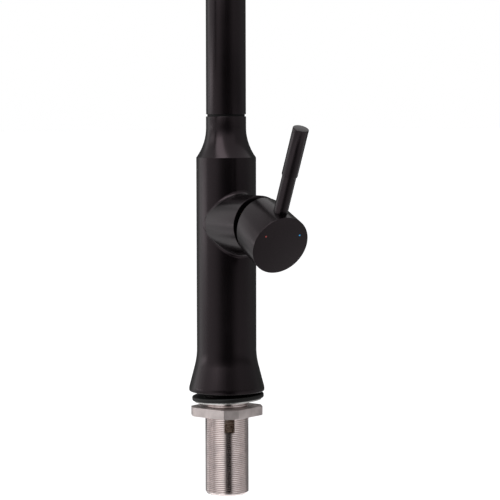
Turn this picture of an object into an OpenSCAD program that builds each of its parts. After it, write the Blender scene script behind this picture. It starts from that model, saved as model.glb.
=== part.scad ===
/* [Column] */
// Diameter of the straight column
body_d = 46.6; // [44:0.1:54]
// Largest diameter of the flared foot
base_d = 59; // [58:0.5:66]
// Height of the flared foot's widest line above the deck
base_edge_h = 3; // [2:0.5:5]
// Rounding of the foot's lower edge
base_edge_r = 1; // [0.5:0.1:1.5]
// Steepness of the flared foot, from vertical
flare_angle = 14.6; // [12:0.2:18]
// Radius of the curve that leads from the column into the foot
flare_curve_r = 55; // [40:1:70]
// Height of the sharp shoulder at the top of the column
shoulder_h = 182.6; // [176:0.2:200]
// Height of the hollow curve between shoulder and neck
cove_h = 23.4; // [18:0.2:30]
// Length of the straight neck above the hollow curve
neck_h = 8.4; // [6:0.2:14]
// Wall of the column
body_wall = 2.6; // [2:0.1:3]
// Solid height inside the foot, which the shank screws into
foot_h = 14; // [10:0.5:18]

/* [Valve housing] */
// Height of the valve housing's axis above the deck
valve_h = 131.5; // [125:0.5:138]
// Outer diameter of the valve housing
housing_d = 46.2; // [45.6:0.1:46.6]
// Reach of the housing's mouth from the column's axis
housing_reach = 50.8; // [49:0.1:56]
// Diameter of the cartridge
cartridge_d = 35; // [33:0.5:36]
// Length of the cartridge's casing
cartridge_l = 36; // [35:0.5:37]
// Distance of the cartridge's seat from the column's axis
seat_x = 8; // [7.5:0.1:8.5]
// Diameter of the retaining nut's thread
retainer_d = 38; // [37:0.2:39]
// Thickness of the retaining nut
retainer_t = 5; // [4:0.1:5]

/* [Lever] */
// Distance of the tilting pivot from the column's axis
pivot_x = 46; // [45.6:0.1:46.4]
// Tilt of the stem below level at rest
stem_tilt = 8; // [7:0.1:8]
// How far the stem tilts back from rest
lift_travel = 16; // [10:0.5:16]
// Gap between pivot and the back rim of the cap
cap_back = 8.6; // [8.6:0.1:10]
// Bend between the stem's axis and the cap's axis
cap_lean = 16.7; // [12:0.1:18]
// Diameter of the cap at its back rim
cap_back_d = 45.4; // [44.8:0.1:46]
// Diameter of the cap at its face
cap_face_d = 46.6; // [45.6:0.1:48]
// Length of the cap along its axis
cap_l = 29; // [27:0.5:34]
// Wall of the cap
cap_wall = 2.2; // [1.6:0.1:2.6]
// Distance of the rod from the back of the cap
rod_place = 18.5; // [17:0.1:19]
// Diameter of the rod
rod_d = 10.8; // [9:0.1:11.4]
// Diameter of the grip
grip_d = 12.1; // [11.8:0.1:14]
// Distance of the grip's lower end from the cap's axis
grip_start = 53.3; // [48:0.1:60]
// Distance of the grip's tip from the cap's axis
grip_end = 91.5; // [85:0.5:110]
// Diameter of the hot and cold marks
mark_d = 1.7; // [1.4:0.1:3]
// Distance of the marks from the face's centre
mark_r = 16.8; // [12:0.1:18]
// Angle of the marks from the rod
mark_angle = 61; // [40:1:90]

/* [Deck fixing] */
// Diameter of the threaded shank
shank_d = 34; // [32:0.5:34]
// Bore of the shank, which the supply hoses pass
shank_bore_d = 26; // [25.4:0.2:26.5]
// Length of the shank below the deck
shank_l = 80.8; // [74:0.2:100]
// Width of the shank's hose window
window_w = 8; // [6:0.5:10]
// Height of the shank's hose window
window_h = 12.6; // [8:0.2:16]
// Distance of the window's top below the deck
window_drop = 19; // [19:0.5:30]
// Direction of the window and of the nut's cut corner
window_turn = -23; // [-60:1:60]
// Width of the nut across its four flats
nut_flats = 47; // [44:0.5:52]
// Width of the nut across its cut corners
nut_corners = 55; // [54:0.5:60]
// Thickness of the nut
nut_t = 7; // [5:0.5:10]
// Drop of the nut's top below the deck
nut_drop = 12.2; // [12:0.1:16]
// Diameter of the rubber washer
rubber_washer_d = 56.2; // [52:0.2:60]
// Thickness of the rubber washer
rubber_washer_t = 3.4; // [3:0.1:3.5]
// Diameter of the steel washer
steel_washer_d = 52.4; // [50:0.2:56]
// Thickness of the steel washer
steel_washer_t = 1.2; // [1:0.1:1.4]
// Drop of the washers' middle plane below the deck
washer_drop = 6.4; // [6.4:0.1:6.6]
// Tilt at which the loose washers hang
washer_tilt = 2.7; // [0:0.1:2.8]
// Direction that the hanging washers rise towards
washer_turn = 59.3; // [0:0.1:180]
// How far the loose washers hang off the middle
washer_shift = 1; // [0:0.1:1]

/* [Riser] */
// Outer diameter of the riser and the neck
riser_d = 31; // [30:0.1:33]
// Wall of the riser
riser_wall = 1.5; // [1:0.1:2]
// Length of the riser
riser_l = 172; // [160:1:260]
// Height of the reveal between neck and riser
reveal_h = 1.6; // [1:0.1:3]
// Depth of the reveal
reveal_depth = 0.9; // [0.5:0.1:1.5]
// Diameter of the swivel spigot in the neck
spigot_d = 21.8; // [21:0.1:22.4]
// Length of the spigot below the neck's top
spigot_drop = 28; // [27:0.5:30]
// Length of the spigot inside the riser
spigot_rise = 20; // [14:1:30]
// Outer diameter of the mixed water pipe
pipe_d = 12; // [11:0.2:13]

/* [Spring and holder] */
// Reach from the column's axis to the spray head's axis
reach = 235; // [200:1:260]
// Height of the spring's bend above the riser's top
bend_rise = 32; // [28:1:80]
// Outer diameter of the spring
spring_d = 27; // [25:0.5:28]
// Wire of the spring
spring_wire = 3; // [2:0.1:3]
// Distance between the spring's turns
coil_pitch = 4.9; // [4.6:0.1:6]
// Outer diameter of the hose
hose_d = 14; // [12:0.5:15]
// Bore of the hose
hose_bore = 8; // [6:0.5:9]
// Distance of the holder arm below the riser's top
arm_drop = 42; // [38:1:60]
// Diameter of the holder arm
arm_d = 10; // [8:0.5:12]
// Height of the clamp and of the clip
clamp_h = 14; // [12:1:16]
// Wall of the clamp and of the clip
clamp_wall = 4; // [3:0.5:6]
// Opening of the clip, in degrees
clip_open = 120; // [90:5:150]

/* [Spray head] */
// Diameter of the spray head's neck, which the clip holds
spray_neck_d = 29; // [28:0.5:32]
// Height of the neck
spray_neck_h = 24; // [23:1:30]
// Diameter of the spray head's grip
spray_grip_d = 38; // [36:0.5:42]
// Length of the spray head
spray_l = 120; // [118:1:140]
// Diameter of the spray head at its outlet
spray_face_d = 43; // [41:0.5:48]
// Number of jets in the outer ring
jets = 24; // [12:2:30]
// Diameter of each jet
jet_d = 1.6; // [1.2:0.1:2]
// Diameter of the central outlet
core_d = 10; // [8:0.5:12]
// Width of the trigger
trigger_w = 12; // [10:0.5:14]
// Length of the trigger below its pivot
trigger_l = 66; // [56:1:70]
// Thickness of the trigger
trigger_t = 3; // [2:0.1:4]
// How far the trigger turns when squeezed
trigger_travel = 8; // [5:0.5:9]
// Distance of the plunger below the trigger's pivot
plunger_drop = 26; // [24:0.5:28]
// Diameter of the plunger
plunger_d = 6; // [5:0.2:7]

/* [Clearances] */
// Radial clearance of a running fit
run_gap = 0.08; // [0.05:0.01:0.1]
// Radial clearance of pieces fixed to each other
fix_gap = 0.05; // [0.02:0.01:0.1]
// Clearance between a piece's end and what it moves beside
free_gap = 0.4; // [0.3:0.05:0.6]

/* [Hidden] */

smooth = 96;
eps = 0.01;

// Column
body_r = body_d / 2;
base_r = base_d / 2;
neck_r = riser_d / 2 + 0.1;
cavity_r = body_r - body_wall;
flare_curve_out = flare_curve_r * (1 - cos(flare_angle));
flare_straight_h = (base_r - body_r - flare_curve_out) / tan(flare_angle);
flare_top = base_edge_h + flare_straight_h + flare_curve_r * sin(flare_angle);
cove_out = body_r - neck_r;
cove_curve_r = (cove_h * cove_h + cove_out * cove_out) / (2 * cove_out);
cove_top = shoulder_h + cove_h;
neck_top = cove_top + neck_h;
spigot_bottom = neck_top - spigot_drop;
cavity_roof_t = 2;
cavity_top = spigot_bottom - cavity_roof_t;
spigot_r = spigot_d / 2;
neck_bore_r = spigot_r + run_gap;

// Valve housing and cartridge, along the housing's own axis
housing_r = housing_d / 2;
cartridge_r = cartridge_d / 2;
housing_bore_r = cartridge_r + fix_gap;
retainer_r = retainer_d / 2;
casing_end = seat_x + cartridge_l;
seal_t = 0.8;
seal_w = 1.6;
base_disc_t = 5;
disc_t = 3.5;
disc_r = cartridge_r - 4;
moving_disc_r = disc_r - 4.4;
mixing_wall = 2;
casing_base_x = seat_x + seal_t;
fixed_disc_x = casing_base_x + base_disc_t;
moving_disc_x = fixed_disc_x + disc_t;
carrier_t = 3;
carrier_x = moving_disc_x + disc_t;
drive_arm = pivot_x - carrier_x - carrier_t / 2;
disc_rest = drive_arm * lift_travel * PI / 180 / 2;
turret_x = carrier_x + carrier_t + free_gap;
turret_r = cartridge_r - 3;
turret_neck_r = 9.6;
turret_neck_x = casing_end - 4.5;
turret_end = housing_reach - 1.2;
turret_slot_h = 2 * turret_neck_r - 2.8;
spanner_slot_w = 3;
spanner_slot_l = 5;
spanner_slot_h = 2;
port_d = 6;
port_y = 8;
port_drop = 4;
outlet_rise = 8;
outlet_d = 8;
block_r = cavity_r - fix_gap;
block_bottom = valve_h - cartridge_r - 10;
block_top = valve_h + cartridge_r + 11;
socket_r = 4.5;
socket_depth = 12;
pipe_r = pipe_d / 2;
pipe_wall = 1;
pipe_bottom = block_top - 9;
pipe_top = spigot_bottom + 8;

// Lever
stem_w = 7;
stem_h = 8;
stem_inner = pivot_x - carrier_x - free_gap;
stem_heel = 4.4;
stem_outer = cap_back + 16;
slot_side_gap = 0.2;
pin_d = 3;
pin_inset = 0.6;
cap_back_r = cap_back_d / 2;
cap_face_r = cap_face_d / 2;
cap_face_t = 3.6;
socket_wall = 3.4;
socket_start = cap_back + 1.5;
cap_screw_l = 10;
rod_r = rod_d / 2;
rod_foot = cap_back_r - cap_wall - 8;
rod_top = grip_end - 2;
grip_r = grip_d / 2;
mark_depth = 0.6;

// Socket screws of one size, used in three places
screw_d = 5;
screw_key = 2.9;
screw_key_depth = 2.5;

// Deck fixing
shank_r = shank_d / 2;
shank_bore_r = shank_bore_d / 2;
shank_top = foot_h;
shank_chamfer = 0.8;
foot_rim = 3.5;
base_ring_r = base_r - foot_rim;
seal_in_r = base_ring_r - 4;
base_ring_h = 2;
seal_groove_h = 1;
seal_drop = 1.1;
seal_wall = 3;
washer_gap = 1.2;
washer_bore_r = shank_r + washer_gap;
nut_chamfer = 2.6;

// Riser
riser_r = riser_d / 2;
riser_bore_r = riser_r - riser_wall;
riser_bottom = neck_top + reveal_h;
riser_top = riser_bottom + riser_l;
glide_r = riser_r - reveal_depth;
spigot_bore_r = pipe_r + run_gap;
ring_cord_r = 1.2;
ring_side_gap = 0.2;
seal_inset = 4;
screw_h = spigot_bottom + spigot_drop / 2 - 1;
screw_groove_h = screw_d + 0.6;
screw_groove_r = spigot_r - 1.8;
swivel_screw_turn = 150;
plug_l = 20;

// Spring and hose, which share one path
bend_r = reach / 2;
bend_h = riser_top + bend_rise;
spring_r = spring_d / 2;
spring_bore_r = spring_r - spring_wire;
hose_r = hose_d / 2;
ferrule_r = spring_bore_r - 0.9;
collar_wall = 3;
collar_r = riser_r + collar_wall / 2;
collar_skirt = 12;
collar_web = 4;
collar_cup = 8;
ferrule_l = 22;

// Holder arm
arm_h = riser_top - arm_drop;
ear_w = 10;
ear_wall = 1.5;
ear_split = 2;
ear_screw_y = riser_r + clamp_wall + 3;

// Spray head
spray_neck_r = spray_neck_d / 2;
spray_grip_r = spray_grip_d / 2;
spray_face_r = spray_face_d / 2;
spray_top = arm_h + spray_neck_h / 2;
spray_bottom = spray_top - spray_l;
spray_neck_bottom = spray_top - spray_neck_h;
spray_cone_h = 12;
spray_flare_h = 18;
spray_edge_h = 4;
clip_gap = 0.35;
clip_r = spray_neck_r + clip_gap;
ferrule_seat = 12;
outlet_ferrule_bottom = spray_top - ferrule_seat;
spring_collar_bottom = spray_top + 1;
spring_end_h = spring_collar_bottom + collar_web;

// Turns of the spring, wound from its seat in the top collar to its seat above the spray head
coil_wire_r = spring_wire / 2;
coil_start = riser_top + collar_web + coil_wire_r;
coil_up = bend_h - coil_start;
coil_over = PI * bend_r;
coil_run = coil_up + coil_over + bend_h - spring_end_h - coil_wire_r;
half_turns = 2 * round(coil_run / coil_pitch);
half_pitch = coil_run / half_turns;
coil_r = sqrt(pow(spring_r - coil_wire_r, 2) - pow(half_pitch / 2, 2));
wire_step = 0.04;
spray_bore_r = hose_bore / 2 + 1;
pivot_h = spray_neck_bottom - spray_cone_h - 5;
pivot_out = spray_grip_r + 4;
plunger_h = pivot_h - plunger_drop;
plunger_r = plunger_d / 2;
chamber_r = plunger_r + 3.2;
chamber_half = spray_grip_r - 6;
plunger_head_t = 2;
return_spring_r = plunger_r + 1.6;
trigger_pin_r = 1.5;
trigger_eye_r = 3;
lug_t = 3;
lug_r = 4.5;
lug_place = trigger_w / 2 + free_gap;
face_plate_t = 5;
face_cavity_h = 5;
bumper_w = 3;
bumper_h = 5;
bumper_stand = 1;
face_r = spray_face_r - bumper_w - 1;
jet_inset = 4;
trigger_rest_tilt = trigger_travel + 1;

// Shapes and places shared by several pieces
module ring(r_out, r_in, h) {
    difference() {
        cylinder(r = r_out, h = h, $fn = smooth);
        translate([0, 0, -1]) cylinder(r = r_in, h = h + 2, $fn = smooth);
    }
}

module rod_shape(r, h) {
    cylinder(r = r, h = h, $fn = smooth);
}

module grub_screw(l) {
    difference() {
        rod_shape(screw_d / 2, l);
        translate([0, 0, l - screw_key_depth]) cylinder(d = screw_key, h = screw_key_depth + 1, $fn = 6);
    }
}

// Local Z runs out along the housing's axis, from the column's axis
module at_housing(x = 0) {
    translate([x, 0, valve_h]) rotate([0, 90, 0]) children();
}

// Local Z runs out along the tilted stem, from the pivot
module at_stem() {
    translate([pivot_x, 0, valve_h]) rotate([0, 90 + stem_tilt, 0]) children();
}

// Local Z runs out along the cap's axis, from the middle of its back rim
module at_cap() {
    at_stem() translate([0, 0, cap_back]) rotate([0, cap_lean, 0]) children();
}

// Local Z runs out along the rod, from the cap's axis
module at_rod() {
    at_cap() translate([0, 0, rod_place]) rotate([0, -90, 0]) children();
}

module at_spray() {
    translate([0, -reach, 0]) children();
}

// Column
module body_outline() {
    // straight column
    translate([0, base_edge_h]) square([body_r, shoulder_h - base_edge_h]);
    // flared foot
    difference() {
        polygon([
            [0, base_edge_h],
            [base_r, base_edge_h],
            [body_r + flare_curve_out, base_edge_h + flare_straight_h],
            [body_r, flare_top],
            [0, flare_top]
        ]);
        translate([body_r + flare_curve_r, flare_top]) circle(r = flare_curve_r, $fn = 4 * smooth);
    }
    // rounded lower edge of the foot
    translate([base_r - base_edge_r, base_edge_r]) circle(r = base_edge_r, $fn = smooth);
    square([base_r - base_edge_r, base_edge_h + eps]);
    translate([0, base_edge_r]) square([base_r, base_edge_h - base_edge_r]);
    // hollow curve up to the neck
    difference() {
        translate([0, shoulder_h - eps]) square([body_r, cove_h + eps]);
        translate([neck_r + cove_curve_r, cove_top]) circle(r = cove_curve_r, $fn = 4 * smooth);
    }
    // straight neck
    translate([0, cove_top - eps]) square([neck_r, neck_h + eps]);
}

module body() {
    color("#262426")
    difference() {
        union() {
            rotate_extrude($fn = smooth) body_outline();
            at_housing() rod_shape(housing_r, housing_reach);
        }
        // hollow of the column
        translate([0, 0, foot_h]) rod_shape(cavity_r, cavity_top - foot_h);
        // bore for the swivel spigot
        translate([0, 0, cavity_top - 1]) rod_shape(neck_bore_r, neck_top - cavity_top + 2);
        // bore for the cartridge, and its mouth for the retaining nut
        at_housing() rod_shape(housing_bore_r, housing_reach + 1);
        at_housing(casing_end) rod_shape(retainer_r + fix_gap, housing_reach);
        // tapped bore for the shank, and the recess for the base ring
        translate([0, 0, -1]) rod_shape(shank_r + fix_gap, foot_h + 2);
        translate([0, 0, -1]) rod_shape(base_ring_r + fix_gap, base_ring_h + 1);
        // bore for the swivel screw
        rotate([0, 0, swivel_screw_turn]) translate([0, 0, screw_h]) rotate([0, 90, 0])
            rod_shape(screw_d / 2 + fix_gap, body_r);
    }
}

module base_ring() {
    color("#b9aea8")
    difference() {
        ring(base_ring_r, shank_r + fix_gap, base_ring_h);
        // groove that the seal sits in
        translate([0, 0, -1]) ring(seal_in_r + seal_wall, seal_in_r, seal_groove_h + 1);
    }
}

module base_seal() {
    color("#141414")
    translate([0, 0, -seal_drop])
        ring(seal_in_r + seal_wall - fix_gap, seal_in_r + fix_gap, seal_groove_h + seal_drop);
}

module shank() {
    color("#b4a8a6")
    difference() {
        union() {
            translate([0, 0, -shank_l]) cylinder(r1 = shank_r - shank_chamfer, r2 = shank_r,
                h = shank_chamfer, $fn = smooth);
            translate([0, 0, shank_chamfer - shank_l])
                rod_shape(shank_r, shank_l + shank_top - shank_chamfer);
        }
        translate([0, 0, -shank_l - 1]) rod_shape(shank_bore_r, shank_l + shank_top + 2);
        // window that a hose can be led out of
        rotate([0, 0, window_turn]) translate([0, -window_w / 2, -window_drop - window_h])
            cube([shank_r + 1, window_w, window_h]);
    }
}

module at_washers() {
    rotate([0, 0, washer_turn - 90]) translate([0, washer_shift, -washer_drop])
        rotate([washer_tilt, 0, 0]) children();
}

module rubber_washer() {
    color("#1a1919") at_washers()
        ring(rubber_washer_d / 2, washer_bore_r, rubber_washer_t);
}

module steel_washer() {
    color("#c8c2be") at_washers()
        translate([0, 0, -steel_washer_t]) ring(steel_washer_d / 2, washer_bore_r, steel_washer_t);
}

module mounting_nut() {
    color("#b4a8a6")
    translate([0, 0, -nut_drop - nut_t])
    rotate([0, 0, window_turn])
    difference() {
        intersection() {
            // square bar stock with its corners cut off
            rotate([0, 0, 45]) translate([-nut_flats / 2, -nut_flats / 2, 0])
                cube([nut_flats, nut_flats, nut_t]);
            translate([-nut_corners / 2, -nut_corners / 2, 0]) cube([nut_corners, nut_corners, nut_t]);
            // turned chamfer round the lower edge
            union() {
                cylinder(r1 = nut_corners / 2, r2 = nut_corners / 2 + 2 * nut_chamfer,
                    h = nut_chamfer, $fn = smooth);
                translate([0, 0, nut_chamfer - eps]) rod_shape(nut_corners, nut_t);
            }
        }
        translate([0, 0, -1]) rod_shape(shank_r + run_gap, nut_t + 2);
    }
}

// Valve
module valve_block() {
    color("#b08d57")
    difference() {
        translate([0, 0, block_bottom]) rod_shape(block_r, block_top - block_bottom);
        at_housing(seat_x) rod_shape(cartridge_r + fix_gap, body_r);
        // hot and cold ways in, with a tapped socket for each supply hose
        for (side = [-1, 1]) {
            translate([0, side * port_y, block_bottom - 1]) rod_shape(socket_r, socket_depth + 1);
            translate([0, side * port_y, block_bottom])
                rod_shape(port_d / 2, valve_h - port_drop - block_bottom);
            translate([0, side * port_y, valve_h - port_drop]) rotate([0, 90, 0])
                rod_shape(port_d / 2, seat_x + 1);
            translate([0, side * port_y, valve_h - port_drop]) sphere(d = port_d, $fn = smooth);
        }
        // mixed water way out, up to the pipe
        translate([0, 0, valve_h + outlet_rise]) rotate([0, 90, 0]) rod_shape(outlet_d / 2, seat_x + 1);
        translate([0, 0, valve_h + outlet_rise])
            rod_shape(outlet_d / 2, block_top - valve_h - outlet_rise + 1);
        translate([0, 0, pipe_bottom]) rod_shape(pipe_r + fix_gap, block_top - pipe_bottom + 1);
    }
}

module mixed_water_pipe() {
    color("#b08d57")
    translate([0, 0, pipe_bottom]) ring(pipe_r, pipe_r - pipe_wall, pipe_top - pipe_bottom);
}

module cartridge_casing() {
    color("#d9d6cf")
    difference() {
        at_housing(fixed_disc_x) rod_shape(cartridge_r, casing_end - fixed_disc_x);
        at_housing(casing_base_x)
            rod_shape(turret_r + run_gap, turret_neck_x + free_gap - casing_base_x);
        at_housing(casing_base_x) rod_shape(disc_r + fix_gap, moving_disc_x - casing_base_x);
        at_housing(turret_neck_x) rod_shape(turret_neck_r + run_gap, cartridge_l);
    }
}

module cartridge_base() {
    color("#c9c4ba")
    difference() {
        at_housing(casing_base_x) rod_shape(cartridge_r, base_disc_t);
        for (side = [-1, 1])
            translate([casing_base_x - 1, side * port_y, valve_h - port_drop]) rotate([0, 90, 0])
                rod_shape(port_d / 2, base_disc_t + 2);
        translate([casing_base_x - 1, 0, valve_h + outlet_rise]) rotate([0, 90, 0])
            rod_shape(outlet_d / 2, base_disc_t + 2);
    }
}

module cartridge_seals() {
    color("#1a1a1a") {
        for (side = [-1, 1])
            translate([seat_x, side * port_y, valve_h - port_drop]) rotate([0, 90, 0])
                ring(port_d / 2 + seal_w, port_d / 2, seal_t);
        translate([seat_x, 0, valve_h + outlet_rise]) rotate([0, 90, 0])
            ring(outlet_d / 2 + seal_w, outlet_d / 2, seal_t);
    }
}

module fixed_disc() {
    color("#f1efe9")
    difference() {
        at_housing(fixed_disc_x) rod_shape(disc_r, disc_t);
        for (side = [-1, 1])
            translate([fixed_disc_x - 1, side * port_y, valve_h - port_drop]) rotate([0, 90, 0])
                rod_shape(port_d / 2, disc_t + 2);
        translate([fixed_disc_x - 1, 0, valve_h + outlet_rise]) rotate([0, 90, 0])
            rod_shape(outlet_d / 2, disc_t + 2);
    }
}

module moving_disc() {
    color("#f1efe9")
    difference() {
        at_housing(moving_disc_x) translate([-disc_rest, 0, 0]) rod_shape(moving_disc_r, disc_t);
        // mixing chamber in the face towards the fixed disc
        at_housing(moving_disc_x - 1) translate([-disc_rest, 0, 0])
            rod_shape(moving_disc_r - mixing_wall, 1 + disc_t / 2);
    }
}

module disc_carrier() {
    // plate that holds the moving disc, with the slot that the stem's inner end works in
    slot_h = stem_h / 2 + carrier_t * tan(stem_tilt) + free_gap;
    color("#e4e0d6")
    at_housing(carrier_x) translate([-disc_rest, 0, 0]) difference() {
        rod_shape(moving_disc_r, carrier_t);
        translate([-slot_h / 2, -stem_w / 2 - slot_side_gap, -1])
            cube([slot_h, stem_w + 2 * slot_side_gap, carrier_t + 2]);
    }
}

module turret() {
    color("#e4e0d6")
    difference() {
        union() {
            at_housing(turret_x) rod_shape(turret_r, turret_neck_x - turret_x);
            at_housing(turret_neck_x - eps) rod_shape(turret_neck_r, turret_end - turret_neck_x);
        }
        // slot in which the stem tilts, wide enough for the whole travel
        at_housing(turret_x - 1) translate([-turret_slot_h / 2, -stem_w / 2 - slot_side_gap, 0])
            cube([turret_slot_h, stem_w + 2 * slot_side_gap, turret_end - turret_x + 2]);
        // bore for the stem's pin
        translate([pivot_x, -turret_neck_r - 1, valve_h]) rotate([-90, 0, 0])
            rod_shape(pin_d / 2 + fix_gap, 2 * turret_neck_r + 2);
    }
}

module stem_pin() {
    color("#c0c0c0")
    translate([pivot_x, pin_inset - turret_neck_r, valve_h]) rotate([-90, 0, 0])
        rod_shape(pin_d / 2, 2 * (turret_neck_r - pin_inset));
}

module retaining_nut() {
    color("#b08d57")
    at_housing(casing_end) difference() {
        ring(retainer_r, turret_neck_r + free_gap, retainer_t);
        // two slots for the spanner
        for (side = [-1, 1])
            translate([0, side * (retainer_r - spanner_slot_l), retainer_t])
                cube([spanner_slot_w, spanner_slot_l, 2 * spanner_slot_h], center = true);
    }
}

// Lever
module stem() {
    color("#c9a66b")
    difference() {
        at_stem() union() {
            translate([-stem_h / 2, -stem_w / 2, -stem_heel])
                cube([stem_h, stem_w, stem_outer + stem_heel]);
            // slimmer inner arm that drives the moving disc
            translate([-stem_h / 4, -stem_w / 2, -stem_inner]) cube([stem_h / 2, stem_w, stem_inner]);
        }
        translate([pivot_x, -stem_w, valve_h]) rotate([-90, 0, 0])
            rod_shape(pin_d / 2 + run_gap, 2 * stem_w);
    }
}

module cap_shell() {
    // turned cup, its back cut square to the stem
    back_reach = cap_face_r * tan(cap_lean) + 2;
    taper = (cap_face_r - cap_back_r) / cap_l;
    difference() {
        at_cap() rotate_extrude($fn = smooth) polygon([
            [0, -back_reach],
            [cap_back_r - taper * back_reach, -back_reach],
            [cap_face_r, cap_l],
            [0, cap_l]
        ]);
        at_cap() rotate_extrude($fn = smooth) polygon([
            [0, -back_reach - 1],
            [cap_back_r - taper * (back_reach + 1) - cap_wall, -back_reach - 1],
            [cap_face_r - taper * cap_face_t - cap_wall, cap_l - cap_face_t],
            [0, cap_l - cap_face_t]
        ]);
        at_stem() translate([0, 0, cap_back - 2 * back_reach])
            rod_shape(2 * cap_face_r, 2 * back_reach);
    }
}

module cap_socket() {
    // block inside the cup that the stem fits
    intersection() {
        at_stem() translate([-stem_h / 2 - socket_wall, -stem_w / 2 - socket_wall, socket_start])
            cube([stem_h + 2 * socket_wall, stem_w + 2 * socket_wall, 2 * cap_l]);
        at_cap() translate([0, 0, -cap_l]) rod_shape(cap_back_r, 2 * cap_l - 1);
    }
}

module cap() {
    color("#262426")
    difference() {
        union() {
            cap_shell();
            cap_socket();
        }
        at_stem() translate([-stem_h / 2 - fix_gap, -stem_w / 2 - fix_gap, 0])
            cube([stem_h + 2 * fix_gap, stem_w + 2 * fix_gap, stem_outer + free_gap]);
        at_rod() rod_shape(rod_r + fix_gap, 2 * cap_face_r);
        at_cap_screw() rod_shape(screw_d / 2 + fix_gap, 2 * cap_face_r);
        for (side = [-1, 1]) at_mark(side) rod_shape(mark_d / 2 + fix_gap, 2 * mark_depth);
    }
}

// Local Z runs out along the cap's screw, from the stem's lower face
module at_cap_screw() {
    at_stem() translate([stem_h / 2, 0, socket_start + screw_d]) rotate([0, 90, 0]) children();
}

module cap_screw() {
    color("#8a8a8a") at_cap_screw() grub_screw(cap_screw_l);
}

module rod() {
    color("#262426") at_rod() translate([0, 0, rod_foot]) rod_shape(rod_r, rod_top - rod_foot);
}

module grip() {
    color("#262426") at_rod() difference() {
        translate([0, 0, grip_start]) rod_shape(grip_r, grip_end - grip_start);
        translate([0, 0, grip_start - 1]) rod_shape(rod_r + fix_gap, rod_top + fix_gap + 1 - grip_start);
    }
}

module at_mark(side) {
    at_cap() rotate([0, 0, side * mark_angle]) translate([-mark_r, 0, cap_l - mark_depth]) children();
}

module hot_mark() {
    color("#c0392b") at_mark(1) rod_shape(mark_d / 2, mark_depth + fix_gap);
}

module cold_mark() {
    color("#2e8fe0") at_mark(-1) rod_shape(mark_d / 2, mark_depth + fix_gap);
}

// Swivel and riser
module glide_ring() {
    color("#101010")
    translate([0, 0, neck_top]) ring(glide_r, spigot_r + free_gap, reveal_h);
}

module swivel_screw() {
    screw_in = screw_groove_r + free_gap;
    color("#8a8a8a")
    rotate([0, 0, swivel_screw_turn]) translate([screw_in, 0, screw_h]) rotate([0, 90, 0])
        grub_screw(neck_r - screw_in);
}

module spigot() {
    color("#b08d57")
    difference() {
        union() {
            translate([0, 0, spigot_bottom]) rod_shape(spigot_r, spigot_drop + reveal_h + eps);
            translate([0, 0, riser_bottom]) rod_shape(riser_bore_r - fix_gap, spigot_rise);
        }
        translate([0, 0, spigot_bottom - 1])
            rod_shape(spigot_bore_r, spigot_drop + reveal_h + spigot_rise + 2);
        // grooves for the two seals and the screw's tip
        for (h = spigot_seal_heights())
            translate([0, 0, h - ring_cord_r - ring_side_gap])
                ring(spigot_r + 1, spigot_r - 2 * ring_cord_r, 2 * (ring_cord_r + ring_side_gap));
        translate([0, 0, screw_h - screw_groove_h / 2]) ring(spigot_r + 1, screw_groove_r, screw_groove_h);
    }
}

function spigot_seal_heights() = [spigot_bottom + seal_inset, neck_top - seal_inset];

module spigot_seals() {
    color("#141414")
    for (h = spigot_seal_heights())
        translate([0, 0, h]) rotate_extrude($fn = smooth)
            translate([spigot_r - ring_cord_r + fix_gap, 0]) circle(r = ring_cord_r, $fn = smooth);
}

module riser() {
    color("#262426")
    translate([0, 0, riser_bottom]) ring(riser_r, riser_bore_r, riser_l);
}

module riser_plug() {
    color("#b08d57")
    translate([0, 0, riser_top - plug_l]) ring(riser_bore_r - fix_gap, hose_bore / 2, plug_l);
}

module top_collar() {
    color("#262426")
    difference() {
        translate([0, 0, riser_top - collar_skirt])
            rod_shape(collar_r, collar_skirt + collar_web + collar_cup);
        translate([0, 0, riser_top - collar_skirt - 1]) rod_shape(riser_r + fix_gap, collar_skirt + 1);
        translate([0, 0, riser_top - 1]) rod_shape(ferrule_r + fix_gap, collar_web + 2);
        translate([0, 0, riser_top + collar_web]) rod_shape(spring_r + fix_gap, collar_cup + 1);
    }
}

// Spring, hose and holder
module along_hose(start_h, end_h) {
    // one upright leg, the half turn over the top, and the leg down to the spray head
    translate([0, 0, start_h]) linear_extrude(bend_h - start_h) children();
    translate([0, -bend_r, bend_h]) rotate([0, 0, 90]) rotate([90, 0, 0])
        rotate_extrude(angle = 180, $fn = smooth) translate([bend_r, 0]) children();
    at_spray() translate([0, 0, end_h]) linear_extrude(bend_h - end_h) children();
}

module tube_section(r_out, r_in) {
    difference() {
        circle(r = r_out, $fn = smooth);
        circle(r = r_in, $fn = smooth);
    }
}

// Where the wire passes through the plane of the bend, some run along the hose and out from its middle
function wire_place(run, out) =
    run < coil_up ? [out, coil_start + run]
    : run < coil_up + coil_over ? let (turned = (run - coil_up) / bend_r * 180 / PI)
        [(bend_r + out) * cos(turned) - bend_r, bend_h + (bend_r + out) * sin(turned)]
    : [-reach - out, bend_h - (run - coil_up - coil_over)];

module half_turn(first, last, side, wire_r) {
    // half a ring of wire on one side of the bend's plane, leaning from one place to the next
    across = last - first;
    translate([0, first[0] + across[0] / 2, first[1] + across[1] / 2])
        rotate([atan2(across[1], across[0]), 0, 0]) rotate([0, 0, side * 90])
        rotate_extrude(angle = 180, $fn = smooth) translate([norm(across) / 2, 0])
        circle(r = wire_r, $fn = smooth);
}

module spring() {
    // every second half turn is a hair thinner, so that its ends sit inside its neighbours' ends
    color("#262426") for (i = [0:half_turns - 1])
        if (i % 2 == 0)
            half_turn(wire_place(i * half_pitch, coil_r), wire_place((i + 1) * half_pitch, -coil_r),
                -1, coil_wire_r);
        else
            half_turn(wire_place(i * half_pitch, -coil_r), wire_place((i + 1) * half_pitch, coil_r),
                1, coil_wire_r - wire_step);
}

module hose() {
    color("#3a3a3a") along_hose(riser_top + 1, outlet_ferrule_bottom + 1)
        tube_section(hose_r, hose_bore / 2);
}

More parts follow.
